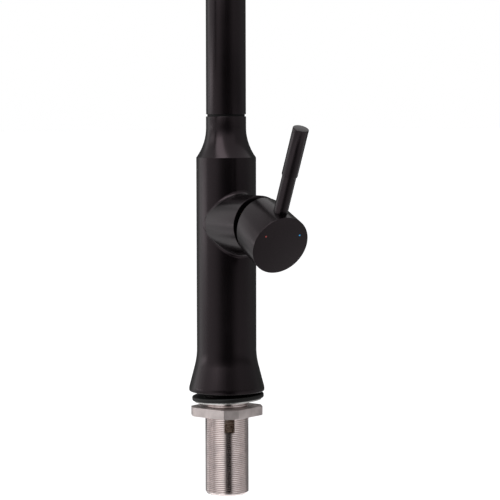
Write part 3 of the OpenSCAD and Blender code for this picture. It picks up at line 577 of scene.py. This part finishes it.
def moulded(name, dark, light, rough, gloss=0.5):
    """Moulded plastic: nearly even colour, faint flow marks and a fine matt texture."""
    finish = Finish(name, gloss=gloss)
    flow = finish.cloud(90.0, 3.0)
    finish.colour(flow, dark, light)
    finish.roughness(flow, rough - 0.05, rough + 0.07)
    finish.relief(finish.cloud(2600.0, 2.0), 0.15, 0.00004)
    return finish.material


ivory = moulded("ivory_acetal", (0.66, 0.63, 0.56), (0.76, 0.73, 0.66), 0.42)
ceramic = moulded("lapped_ceramic", (0.84, 0.83, 0.80), (0.90, 0.89, 0.87), 0.16)
refinish(ivory, "cartridge_casing", "cartridge_base", "turret", "disc_carrier")
refinish(ceramic, "fixed_disc", "moving_disc")
refinish(rubber, "cartridge_seals", "spigot_seals")
refinish(steel, "stem_pin")
refinish(brass, "stem")

# ------------------------------------------------------------
# Cap of the lever. A turned cup, powder coated like the column. Its back is cut square to the stem and
# eased over, its face has a fine bevel, and a block inside it takes the stem and the grub screw.
# ------------------------------------------------------------
PIVOT_X = 46.0
STEM_TILT = math.radians(8)
CAP_BACK = 8.6
CAP_LEAN = math.radians(16.7)
CAP_BACK_R = 22.7
CAP_FACE_R = 23.3
CAP_LONG = 29.0
CAP_WALL = 2.2
CAP_FACE_T = 3.6
BLOCK_HALF_HIGH = 7.4
BLOCK_HALF_WIDE = 6.9
TO_STEM = Matrix.Translation((PIVOT_X, 0, VALVE_H)) @ Matrix.Rotation(math.pi / 2 + STEM_TILT, 4, "Y")
TO_CAP = TO_STEM @ Matrix.Translation((0, 0, CAP_BACK)) @ Matrix.Rotation(CAP_LEAN, 4, "Y")


def cap_cup(around=144):
    """Each spoke of the cup has its own outline, since its back rim is slanted."""
    work = bmesh.new()
    taper = (CAP_FACE_R - CAP_BACK_R) / CAP_LONG
    slant = math.tan(CAP_LEAN)
    spokes = []
    for i in range(around):
        angle = 2 * math.pi * i / around
        lean = math.cos(angle) * slant
        rim = CAP_BACK_R * lean / (1 - taper * lean)
        rim_r = CAP_BACK_R + taper * rim
        inner_r = rim_r - CAP_WALL
        outline = [(0, CAP_LONG, 0), (CAP_FACE_R, CAP_LONG, 0.5), (rim_r, rim, 1.0),
                   (inner_r, inner_r * lean, 0.5), (CAP_FACE_R - CAP_WALL, CAP_LONG - CAP_FACE_T, 1.5),
                   (0, CAP_LONG - CAP_FACE_T, 0)]
        path = rounded_path(outline, False, 5)
        spoke = Vector((math.cos(angle), math.sin(angle), 0))
        spokes.append([work.verts.new(TO_CAP @ (spoke * p.x + Vector((0, 0, p.y)))) for p in path])
    skinned(work, spokes, len(path) - 1)
    return work


work = cap_cup()
block(work, (-BLOCK_HALF_HIGH, -BLOCK_HALF_WIDE, CAP_BACK + 1.5),
      (BLOCK_HALF_HIGH, BLOCK_HALF_WIDE, CAP_BACK + 22), 0.6, TO_STEM)
finished(work, "lever_cap", black, "lever", "cap", sharp=20)
refinish(steel, "cap_screw")

# ------------------------------------------------------------
# Rod and grip. A turned rod stands in the cap near its face, and a slightly thicker sleeve over its upper
# part is the grip. Both are powder coated black, with eased ends.
# ------------------------------------------------------------
ROD_PLACE = 18.5
ROD_R = 5.4
ROD_START = 12.5
ROD_END = 89.5
GRIP_R = 6.05
GRIP_START = 53.3
GRIP_END = 91.5
TO_ROD = TO_CAP @ Matrix.Translation((0, 0, ROD_PLACE)) @ Matrix.Rotation(-math.pi / 2, 4, "Y")
lathed("lever_rod", [(0, ROD_START, 0), (ROD_R, ROD_START, 0), (ROD_R, ROD_END, 0), (0, ROD_END, 0)],
       black, "lever", "rod", place=TO_ROD, closed=False, around=64)
lathed("lever_grip",
       [(ROD_R, GRIP_START, 0), (GRIP_R, GRIP_START, 0.5), (GRIP_R, GRIP_END, 0.45), (0, GRIP_END, 0)],
       black, "lever", "grip", place=TO_ROD, closed=False, around=64, sharp=20)

# ------------------------------------------------------------
# Hot and cold marks. Drops of red and blue stoved enamel, set in shallow pits in the cap's face, one at
# each side of the rod.
# ------------------------------------------------------------
MARK_TURN = math.radians(61)
MARK_OUT = 16.8
MARK_R = 0.85


def enamel(name, dark, light):
    """Glossy stoved enamel with a slightly uneven fill."""
    finish = Finish(name)
    fill = finish.cloud(900.0, 2.0)
    finish.colour(fill, dark, light)
    finish.roughness(fill, 0.16, 0.26)
    return finish.material


for side, name, dark, light in ((1, "hot_mark", (0.32, 0.03, 0.025), (0.42, 0.05, 0.04)),
                                (-1, "cold_mark", (0.01, 0.34, 0.78), (0.02, 0.46, 0.92))):
    to_mark = (TO_CAP @ Matrix.Rotation(side * MARK_TURN, 4, "Z")
               @ Matrix.Translation((-MARK_OUT, 0, CAP_LONG)))
    lathed(name + "_drop",
           [(0, -0.5, 0), (MARK_R, -0.5, 0), (MARK_R, -0.05, 0), (0.6, 0.03, 0), (0.3, 0.05, 0),
            (0, 0.05, 0)],
           enamel(name + "_enamel", dark, light), "lever", name, place=to_mark, closed=False, around=32)

# ------------------------------------------------------------
# Riser. A drawn brass tube, powder coated black, that carries all that stands above the column. It turns
# on a black plastic glide ring in the groove between it and the neck.
# ------------------------------------------------------------
RISER_R = 15.5
RISER_BORE_R = 14.0
RISER_LOW = 216.0
RISER_TOP = 388.0
dark_plastic = moulded("black_acetal", (0.001, 0.0009, 0.0009), (0.002, 0.0018, 0.0018), 0.45, 0.12)
refinish(dark_plastic, "glide_ring")
lathed("riser_tube", [(RISER_BORE_R, RISER_LOW, 0.2), (RISER_R, RISER_LOW, 0.3), (RISER_R, RISER_TOP, 0.3),
                      (RISER_BORE_R, RISER_TOP, 0.2)], black, "swivel", "riser", around=128, sharp=20)

# ------------------------------------------------------------
# Top collar. A turned brass cup, powder coated black and pressed on the riser's top. The spring's first
# coil sits in it, and the hose's ferrule passes through it.
# ------------------------------------------------------------
COLLAR_R = 17.0
COLLAR_LOW = 376.0
COLLAR_TOP = 400.0
SEAT_R = 13.55
SEAT_H = 392.0
FERRULE_BORE_R = 9.65
lathed("riser_collar", [(COLLAR_R, COLLAR_LOW, 0.6), (COLLAR_R, COLLAR_TOP, 0.9), (SEAT_R, COLLAR_TOP, 0.3),
                        (SEAT_R, SEAT_H, 0), (FERRULE_BORE_R, SEAT_H, 0), (FERRULE_BORE_R, RISER_TOP, 0),
                        (RISER_R + FIT, RISER_TOP, 0), (RISER_R + FIT, COLLAR_LOW, 0.2)],
       black, "swivel", "top_collar", around=128, sharp=20)

# ------------------------------------------------------------
# Hose. Reinforced black rubber, 14 mm across, from the ferrule in the riser's top over the bend to the
# ferrule in the spray head. Bright crimped ferrules close both ends.
# ------------------------------------------------------------
REACH = 235.0
BEND_R = REACH / 2
BEND_H = 420.0
HOSE_R = 7.0
HOSE_START = 389.0
HOSE_END = 347.0
HOSE_STEP = 5.0


def hose_path():
    """Points up the first leg, over the half turn and down the second leg."""
    points = []
    up, over = BEND_H - HOSE_START, math.pi * BEND_R
    total = up + over + BEND_H - HOSE_END
    count = round(total / HOSE_STEP)
    for i in range(count + 1):
        run = total * i / count
        if run <= up:
            points.append(Vector((0, 0, HOSE_START + run)))
        elif run <= up + over:
            angle = (run - up) / BEND_R
            points.append(Vector((0, BEND_R * (math.cos(angle) - 1), BEND_H + BEND_R * math.sin(angle))))
        else:
            points.append(Vector((0, -REACH, BEND_H - (run - up - over))))
    return points


def drawn(points, radius, sides, sideways=Vector((1, 0, 0))):
    """A round section drawn along points, closed at both ends."""
    work = bmesh.new()
    angles = [2 * math.pi * k / sides for k in range(sides)]
    rings = []
    for i, point in enumerate(points):
        ahead = (points[min(i + 1, len(points) - 1)] - points[max(i - 1, 0)]).normalized()
        sideways = (sideways - ahead * sideways.dot(ahead)).normalized()
        other = ahead.cross(sideways)
        arms = [(sideways * math.cos(a) + other * math.sin(a)) * radius for a in angles]
        rings.append([work.verts.new(point + arm) for arm in arms])
    for here, there in zip(rings, rings[1:]):
        for k in range(sides):
            n = (k + 1) % sides
            work.faces.new((here[k], here[n], there[n], there[k]))
    work.faces.new(rings[0][::-1])
    work.faces.new(rings[-1])
    return work


def hose_rubber():
    """Dusty black hose rubber that keeps the print of its cloth wrapping."""
    finish = Finish("hose_rubber")
    dust = finish.cloud(300.0, 6.0)
    cloth = finish.nodes.new("ShaderNodeTexVoronoi")
    cloth.inputs["Scale"].default_value = 900.0
    finish.links.new(finish.place, cloth.inputs["Vector"])
    finish.colour(dust, (0.008, 0.008, 0.008), (0.020, 0.019, 0.018))
    finish.roughness(dust, 0.55, 0.72)
    finish.relief(cloth.outputs["Distance"], 0.4, 0.0002)
    return finish.material


def bright_chrome():
    """Chromed brass with faint polishing haze."""
    finish = Finish("bright_chrome", metallic=1.0)
    haze = finish.cloud(260.0, 4.0)
    finish.colour(haze, (0.66, 0.66, 0.67), (0.74, 0.74, 0.75))
    finish.roughness(haze, 0.07, 0.14)
    return finish.material


finished(drawn(hose_path(), HOSE_R, 32), "hose_line", hose_rubber(), "swivel", "hose", sharp=60)
refinish(bright_chrome(), "hose_inlet_ferrule", "hose_outlet_ferrule")

# ------------------------------------------------------------
# Spring. A coil of 3 mm wire round the hose, powder coated black, with a turned end collar. It holds the
# hose in its bend and lets the spray head be pulled down.
# ------------------------------------------------------------
SPRING_END = 363.0
WIRE_R = 1.5
COIL_OUT = 13.5
COIL_PITCH = 4.9
HALF_RING_STEPS = 10
END_COLLAR_R = 15.0
END_COLLAR_LOW = 359.0
END_COLLAR_TOP = 371.0
TO_HEAD = Matrix.Translation((0, -REACH, 0))


def coil():
    """The wire crosses the bend's plane outside and inside by turns, with leaning half rings between."""
    start, end = SEAT_H + WIRE_R, SPRING_END + WIRE_R
    up, over, down = BEND_H - start, math.pi * BEND_R, BEND_H - end
    half_turns = 2 * round((up + over + down) / COIL_PITCH)
    half_pitch = (up + over + down) / half_turns
    out = math.sqrt((COIL_OUT - WIRE_R) ** 2 - (half_pitch / 2) ** 2)

    def crossing(i):
        run, side = i * half_pitch, out if i % 2 == 0 else -out
        if run < up:
            return Vector((0, side, start + run))
        if run < up + over:
            angle = (run - up) / BEND_R
            reach = BEND_R + side
            return Vector((0, reach * math.cos(angle) - BEND_R, BEND_H + reach * math.sin(angle)))
        return Vector((0, -REACH - side, BEND_H - (run - up - over)))

    wire = []
    for i in range(half_turns):
        here, there = crossing(i), crossing(i + 1)
        middle, arm = (here + there) / 2, (here - there) / 2
        side = Vector((arm.length if i % 2 == 0 else -arm.length, 0, 0))
        for k in range(HALF_RING_STEPS):
            angle = math.pi * k / HALF_RING_STEPS
            wire.append(middle + arm * math.cos(angle) + side * math.sin(angle))
    wire.append(crossing(half_turns))
    return drawn(wire, WIRE_R, 12, Vector((0, 0, 1)))


finished(coil(), "spring_coil", black, "swivel", "spring", sharp=60)
lathed("spring_end_collar", [(FERRULE_BORE_R, END_COLLAR_LOW, 0.2), (END_COLLAR_R, END_COLLAR_LOW, 0.6),
                             (END_COLLAR_R, END_COLLAR_TOP, 0.8), (SEAT_R, END_COLLAR_TOP, 0.2),
                             (SEAT_R, SPRING_END, 0), (FERRULE_BORE_R, SPRING_END, 0)],
       black, "swivel", "spring_collar", place=TO_HEAD, around=128, sharp=20)

# ------------------------------------------------------------
# Holder arm. A split clamp pinched round the riser by one screw, a round bar out to the side, and a
# springy open clip that the spray head's neck snaps into. Brass, powder coated black.
# ------------------------------------------------------------
ARM_H = 346.0
ARM_R = 5.0
ARM_START = 16.5
ARM_END = 219.15
CLAMP_LOW = ARM_H - 7
CLAMP_HIGH = ARM_H + 7
CLAMP_R = 19.5
CLIP_IN_R = 14.85
CLIP_OUT_R = 18.85
CLIP_START = -30
CLIP_ARC = 240
EAR_OUT = 5
EAR_NEAR = 16.6
EAR_FAR = 26.5
STOP_R = 6.4
TO_ARM = Matrix.Translation((0, 0, ARM_H)) @ Matrix.Rotation(math.pi / 2, 4, "X")
work = bmesh.new()
turned(work, [(RISER_R + FIT, CLAMP_LOW, 0.3), (CLAMP_R, CLAMP_LOW, 0.9), (CLAMP_R, CLAMP_HIGH, 0.9),
              (RISER_R + FIT, CLAMP_HIGH, 0.3)], around=96, start=93.4, arc=353.2)
for side in (-1, 1):
    inner, outer = side, side * EAR_OUT
    block(work, (min(inner, outer), EAR_NEAR, CLAMP_LOW), (max(inner, outer), EAR_FAR, CLAMP_HIGH), 0.8)
turned(work, [(0, ARM_START, 0), (ARM_R, ARM_START, 0), (ARM_R, ARM_END, 0), (0, ARM_END, 0)], TO_ARM,
       closed=False, around=48)
turned(work, [(ARM_R, 18.8, 0), (STOP_R, 18.8, 0), (STOP_R, 21.5, 0.6), (ARM_R, 22.5, 0)], TO_ARM, around=48)
turned(work, [(CLIP_IN_R, CLAMP_LOW, 0.5), (CLIP_OUT_R, CLAMP_LOW, 1.3), (CLIP_OUT_R, CLAMP_HIGH, 1.3),
              (CLIP_IN_R, CLAMP_HIGH, 0.5)], TO_HEAD, around=80, start=CLIP_START, arc=CLIP_ARC)
for angle in (CLIP_START, CLIP_START + CLIP_ARC):
    tip = (TO_HEAD @ Matrix.Rotation(math.radians(angle), 4, "Z")
           @ Matrix.Translation(((CLIP_IN_R + CLIP_OUT_R) / 2, 0, 0)))
    turned(work, [(0, CLAMP_LOW, 0), (2, CLAMP_LOW, 0.7), (2, CLAMP_HIGH, 0.7), (0, CLAMP_HIGH, 0)], tip,
           closed=False, around=24)
finished(work, "holder_bracket", black, "swivel", "holder_arm", sharp=24)
refinish(steel, "clamp_screw")

# ------------------------------------------------------------
# Spray head. A turned brass body, powder coated black, that hangs on the hose's ferrule: neck, grip and
# flared outlet, with two lugs for the trigger's pin.
# ------------------------------------------------------------
HEAD_LOW = 238.0
HEAD_TOP = 358.0
HANDLE_R = 19.0
GROOVE_R = 18.6
FLARE_R = 21.5
LIP_R = 20.0
RECESS_R = 17.55
HEAD_NECK_R = 14.5
SOCKET_R = 9.68
SOCKET_LOW = 345.0
WATERWAY_R = 5.0
CHAMBER_R = 15.5
LUG_IN = 6.4
LUG_OUT = 9.4
LUG_NEAR = 10
LUG_FAR = 27.5
LUG_HALF = 4.5
HANDLE_TOP = 322
HEAD_NECK_LOW = 334
PIVOT_OUT = 23.0
PIVOT_H = 317.0
work = bmesh.new()
outline = [(RECESS_R, HEAD_LOW + 0.2, 0), (LIP_R, HEAD_LOW + 0.2, 0), (LIP_R, HEAD_LOW + 4, 0),
           (FLARE_R, HEAD_LOW + 4, 0.3), (FLARE_R, HEAD_LOW + 6.5, 3.0), (HANDLE_R, HEAD_LOW + 18, 14.0)]
for groove in (266, 310):
    outline += [(HANDLE_R, groove, 0), (GROOVE_R, groove + 0.6, 0), (GROOVE_R, groove + 1.6, 0),
                (HANDLE_R, groove + 2.2, 0)]
outline += [(HANDLE_R, HANDLE_TOP, 8.0), (HEAD_NECK_R, HEAD_NECK_LOW, 8.0), (HEAD_NECK_R, HEAD_TOP, 0.6),
            (SOCKET_R, HEAD_TOP, 0.2), (SOCKET_R, SOCKET_LOW, 0), (WATERWAY_R, SOCKET_LOW, 0),
            (WATERWAY_R, HEAD_LOW + 10, 0), (CHAMBER_R, HEAD_LOW + 10, 0), (CHAMBER_R, HEAD_LOW + 5, 0),
            (RECESS_R, HEAD_LOW + 5, 0)]
turned(work, outline, TO_HEAD, around=128, steps=6)
for side in (-1, 1):
    inner, outer = side * LUG_IN, side * LUG_OUT
    block(work, (min(inner, outer), -LUG_FAR, PIVOT_H - LUG_HALF),
          (max(inner, outer), -LUG_NEAR, PIVOT_H + LUG_HALF), 0.8, TO_HEAD)
finished(work, "spray_handle", black, "spray_head", "spray_body", sharp=22)
refinish(steel, "trigger_pin", "plunger")

# ------------------------------------------------------------
# Plunger's return spring. Fine steel wire, coiled round the plunger across the head's valve chamber. It
# shortens by the plunger's travel when the trigger is squeezed.
# ------------------------------------------------------------
RETURN_TURNS = 8
RETURN_STEPS = 24
RETURN_WIRE_R = 0.4
RETURN_COIL_R = 4.2
RETURN_FAR = 13.0
RETURN_LONG = 23.6
PLUNGER_H = 291.0
winding = []
for i in range(RETURN_TURNS * RETURN_STEPS + 1):
    angle = 2 * math.pi * i / RETURN_STEPS
    run = RETURN_WIRE_R + (RETURN_LONG - 2 * RETURN_WIRE_R) * i / (RETURN_TURNS * RETURN_STEPS)
    winding.append(TO_HEAD @ Vector((RETURN_COIL_R * math.cos(angle), RETURN_FAR - run,
                                     PLUNGER_H + RETURN_COIL_R * math.sin(angle))))
return_coil = finished(drawn(winding, RETURN_WIRE_R, 8, Vector((0, 1, 0))), "return_coil", steel,
                       "spray_head", "plunger_spring", sharp=60)
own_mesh(return_coil)

# ------------------------------------------------------------
# Outlet. A moulded face plate with a ring of soft rubber nozzles round the open centre, inside a rubber
# bumper that keeps the head from chipping dishes.
# ------------------------------------------------------------
FACE_R = 17.5
FACE_TOP = HEAD_LOW + 5
JETS = 24
JETS_OUT = 13.5
BUMPER_R = 22.1
BUMPER_LOW = HEAD_LOW - 1
BUMPER_TOP = HEAD_LOW + 4
lathed("outlet_face",
       [(WATERWAY_R, HEAD_LOW, 0.4), (FACE_R, HEAD_LOW, 0.3), (FACE_R, FACE_TOP, 0),
        (WATERWAY_R, FACE_TOP, 0)], dark_plastic, "spray_head", "spray_face", place=TO_HEAD, sharp=24)
work = bmesh.new()
for i in range(JETS):
    nozzle = (TO_HEAD @ Matrix.Rotation(2 * math.pi * i / JETS, 4, "Z")
              @ Matrix.Translation((JETS_OUT, 0, HEAD_LOW)))
    turned(work, [(0, 0.5, 0), (1.5, 0.5, 0), (1.3, -0.5, 0), (0.95, -0.85, 0), (0.55, -0.85, 0),
                  (0.5, -0.1, 0), (0, -0.1, 0)], nozzle, closed=False, around=16)
finished(work, "outlet_nozzles", rubber, "spray_head", sharp=24)
lathed("outlet_bumper", [(LIP_R + FIT, BUMPER_LOW, 0.5), (BUMPER_R, BUMPER_LOW, 0.9),
                         (BUMPER_R, BUMPER_TOP, 0.5), (LIP_R + FIT, BUMPER_TOP, 0)],
       rubber, "spray_head", "face_bumper", place=TO_HEAD, around=128, sharp=24)

# ------------------------------------------------------------
# Trigger. A bent brass lever, powder coated black, on a steel pin between the lugs. Squeezed, it pushes
# the plunger in.
# ------------------------------------------------------------
TRIGGER_TILT = math.radians(-9)
TRIGGER_LONG = 66.0
TRIGGER_HALF = 6.0
EYE_R = 3.0
EYE_BORE_R = 1.58
TO_TRIGGER = (TO_HEAD @ Matrix.Translation((0, -PIVOT_OUT, PIVOT_H))
              @ Matrix.Rotation(TRIGGER_TILT, 4, "X"))
ACROSS = Matrix.Rotation(math.pi / 2, 4, "Y")
work = bmesh.new()
turned(work, [(EYE_BORE_R, -TRIGGER_HALF, 0.2), (EYE_R, -TRIGGER_HALF, 0.4), (EYE_R, TRIGGER_HALF, 0.4),
              (EYE_BORE_R, TRIGGER_HALF, 0.2)], TO_TRIGGER @ ACROSS, around=32)
block(work, (-TRIGGER_HALF, -EYE_R, -TRIGGER_LONG), (TRIGGER_HALF, 0, -1.5), 1.1, TO_TRIGGER)
turned(work, [(0, -TRIGGER_HALF, 0), (EYE_R, -TRIGGER_HALF, 1.0), (EYE_R, TRIGGER_HALF, 1.0),
              (0, TRIGGER_HALF, 0)],
       TO_TRIGGER @ Matrix.Translation((0, -EYE_R / 2, -TRIGGER_LONG)) @ ACROSS, closed=False, around=32)
finished(work, "trigger_lever", black, "trigger", "trigger", sharp=24)

# ------------------------------------------------------------
# Floor, light and camera. A pale floor under a white surround, soft panels at the left and above, and
# curved cloth screens that only gloss sees, whose shades give the black and the nickel their depth.
# ------------------------------------------------------------
TOWARDS_CAMERA = Vector((0.8602, -0.5099, 0))
FORWARD = TOWARDS_CAMERA.normalized()
RIGHT = Vector((0.5099, 0.8602, 0)).normalized()
UP = Vector((0, 0, 1))
FLOOR_H = -0.2
FLOOR_HALF = 40
FLOOR_GLOW = 0.66
CLOTH_H = -0.19
CAMERA_PLACE = Vector((1.3599, -0.7847, 0.2169))
CAMERA_DOWN = 0.0678
CAMERA_ROLL = -0.0021
CAMERA_LENS = 145.14


def seen(nodes, links):
    """1 for rays from the eye, from gloss and through glass, and 0 for those that light the faucet."""
    path = nodes.new("ShaderNodeLightPath")
    share = path.outputs["Is Camera Ray"]
    for kind in ("Is Glossy Ray", "Is Transmission Ray"):
        either = nodes.new("ShaderNodeMath")
        either.operation = "MAXIMUM"
        links.new(share, either.inputs[0])
        links.new(path.outputs[kind], either.inputs[1])
        share = either.outputs[0]
    return share


scene = bpy.context.scene
world = bpy.data.worlds.new("studio")
scene.world = world
world.use_nodes = True
nodes, links = world.node_tree.nodes, world.node_tree.links
surround = nodes["Background"]
surround.inputs["Color"].default_value = (0.45, 0.45, 0.46, 1)
white = nodes.new("ShaderNodeBackground")
white.inputs["Color"].default_value = (1, 1, 1, 1)
mixed = nodes.new("ShaderNodeMixShader")
links.new(seen(nodes, links), mixed.inputs["Fac"])
links.new(surround.outputs[0], mixed.inputs[1])
links.new(white.outputs[0], mixed.inputs[2])
links.new(mixed.outputs[0], nodes["World Output"].inputs["Surface"])

floor_mesh = bpy.data.meshes.new("floor")
corners = [(x * FLOOR_HALF, y * FLOOR_HALF, FLOOR_H) for x, y in ((-1, -1), (1, -1), (1, 1), (-1, 1))]
floor_mesh.from_pydata(corners, [], [(0, 1, 2, 3)])
pale = Finish("pale_floor", gloss=0.1)
pale.colour(pale.cloud(6.0, 3.0), (0.78, 0.78, 0.78), (0.82, 0.82, 0.82))
pale.shader.inputs["Roughness"].default_value = 0.9
nodes, links = pale.nodes, pale.links
glow = nodes.new("ShaderNodeEmission")
glow.inputs["Strength"].default_value = FLOOR_GLOW
joined = nodes.new("ShaderNodeAddShader")
chosen = nodes.new("ShaderNodeMixShader")
links.new(pale.shader.outputs[0], joined.inputs[0])
links.new(glow.outputs[0], joined.inputs[1])
links.new(seen(nodes, links), chosen.inputs["Fac"])
links.new(pale.shader.outputs[0], chosen.inputs[1])
links.new(joined.outputs[0], chosen.inputs[2])
links.new(chosen.outputs[0], nodes["Material Output"].inputs["Surface"])
floor_mesh.materials.append(pale.material)
floor = placed("floor", floor_mesh)


def soft_light(name, turn, rise, distance, wide, tall, level, aim_h):
    """A soft panel: its turn to the right of the camera and its rise in degrees, its light as radiance."""
    angle, lift = math.radians(turn), math.radians(rise)
    out = (FORWARD * math.cos(angle) + RIGHT * math.sin(angle)) * math.cos(lift) + UP * math.sin(lift)
    lamp = bpy.data.lights.new(name, "AREA")
    lamp.shape = "RECTANGLE"
    lamp.size = wide
    lamp.size_y = tall
    lamp.energy = level * math.pi * wide * tall
    panel = placed(name, lamp)
    across = UP.cross(out).normalized()
    facing = Matrix((across, out.cross(across), out)).transposed().to_4x4()
    panel.matrix_world = Matrix.Translation(out * distance + UP * aim_h) @ facing


def screen(name, edges, stations):
    """A curved cloth screen that only gloss sees, between two edges given by distance and height, with its
    shade at stations of turn to the right of the camera."""
    points, faces, shades = [], [], []
    for (turn, shade), (next_turn, next_shade) in zip(stations, stations[1:]):
        steps = max(2, round((next_turn - turn) / 3))
        for i in range(steps + (next_turn == stations[-1][0])):
            angle = math.radians(turn + (next_turn - turn) * i / steps)
            out = FORWARD * math.cos(angle) + RIGHT * math.sin(angle)
            points += [out * distance + UP * height for distance, height in edges]
            shades += [shade + (next_shade - shade) * i / steps] * 2
    for i in range(0, len(points) - 2, 2):
        faces.append((i, i + 2, i + 3, i + 1))
    mesh = bpy.data.meshes.new(name)
    mesh.from_pydata(points, [], faces)
    dye = mesh.color_attributes.new("shade", "FLOAT_COLOR", "POINT")
    for i, shade in enumerate(shades):
        dye.data[i].color = (shade, shade, shade, 1)
    cloth = placed(name, mesh)
    finish = bpy.data.materials.new(name)
    finish.use_nodes = True
    nodes, links = finish.node_tree.nodes, finish.node_tree.links
    nodes.remove(nodes["Principled BSDF"])
    dyed = nodes.new("ShaderNodeVertexColor")
    dyed.layer_name = "shade"
    glow = nodes.new("ShaderNodeEmission")
    links.new(dyed.outputs["Color"], glow.inputs["Color"])
    links.new(glow.outputs[0], nodes["Material Output"].inputs["Surface"])
    mesh.materials.append(finish)
    cloth.visible_camera = False
    cloth.visible_diffuse = False
    cloth.visible_transmission = False
    cloth.visible_shadow = False


soft_light("left_light", -106, 0, 1.5, 1.5, 0.6, 0.12, 0.15)
soft_light("left_strip", -93, 0, 1.44, 0.66, 0.13, 2.6, 0.135)
soft_light("left_high", -124, 14, 1.5, 1.0, 0.9, 0.4, 0.13)
soft_light("flare_light", -62, 25, 1.5, 1.8, 0.4, 1.1, 0.02)
soft_light("top_light", -36, 50, 1.5, 0.95, 1.7, 3.2, 0.2)
screen("front_left_screen", ((1.0, CLOTH_H), (1.0, 0.36)),
       [(-80, 1.0), (-60, 0.95), (-45, 0.78), (-33, 0.56), (-25, 0.34), (-17, 0.16), (-10, 0.08), (-4, 0.08)])
screen("front_right_screen", ((1.0, CLOTH_H), (1.0, 0.45)),
       [(-4, 0.08), (16, 0.08), (24, 0.18), (32, 0.36), (40, 0.5), (50, 0.6)])
screen("rear_screen", ((1.0, CLOTH_H), (1.0, 0.8)),
       [(50, 0.6), (90, 0.52), (110, 0.38), (125, 0.22), (140, 0.12), (180, 0.1), (205, 0.12), (217, 0.17),
        (225, 0.3), (229, 0.5), (238, 0.8)])
screen("side_board", ((0.95, 0.09), (0.95, 0.185)),
       [(-12, 0.04), (22, 0.01), (38, 0.04), (55, 0.1), (73, 0.12), (82, 0.16), (95, 0.28), (108, 0.35)])
screen("dark_board", ((0.9, 0.185), (0.9, 0.214)), [(-14, 0.05), (-8, 0.0), (12, 0.0), (18, 0.05)])
screen("low_screen", ((0.5, CLOTH_H), (0.5, -0.075)),
       [(-116, 0.36), (-96, 0.38), (-84, 0.57), (-70, 0.52), (-56, 1.0), (-44, 1.25), (-30, 1.4), (-20, 1.4),
        (-11, 0.75), (-3, 0.08), (5, 0.01), (16, 0.01), (22, 0.05), (29, 0.65), (36, 1.0), (45, 1.0),
        (60, 0.8), (78, 0.55), (93, 0.5), (109, 0.36), (131, 0.25), (180, 0.3)])
screen("floor_cloth", ((0.12, CLOTH_H), (0.5, CLOTH_H)),
       [(-90, 1.0), (-40, 1.0), (-20, 0.65), (-8, 0.3), (5, 0.18), (18, 0.18), (30, 0.35), (50, 0.55),
        (77, 0.74), (97, 0.85), (130, 0.95)])
screen("left_cloth", ((0.12, CLOTH_H), (1.4, CLOTH_H)),
       [(-180, 0.38), (-160, 0.45), (-145, 0.62), (-128, 0.86), (-118, 1.0)])

camera = bpy.data.cameras.new("camera")
camera.lens = CAMERA_LENS
camera.sensor_width = 36
camera.clip_start = 0.05
camera.clip_end = 200
stand = placed("camera", camera)
ahead = (-TOWARDS_CAMERA * math.cos(CAMERA_DOWN) - UP * math.sin(CAMERA_DOWN)).normalized()
facing = Matrix((RIGHT, RIGHT.cross(ahead).normalized(), -ahead)).transposed().to_4x4()
stand.matrix_world = Matrix.Translation(CAMERA_PLACE) @ facing @ Matrix.Rotation(CAMERA_ROLL, 4, "Z")
scene.camera = stand
scene.view_settings.view_transform = "Standard"
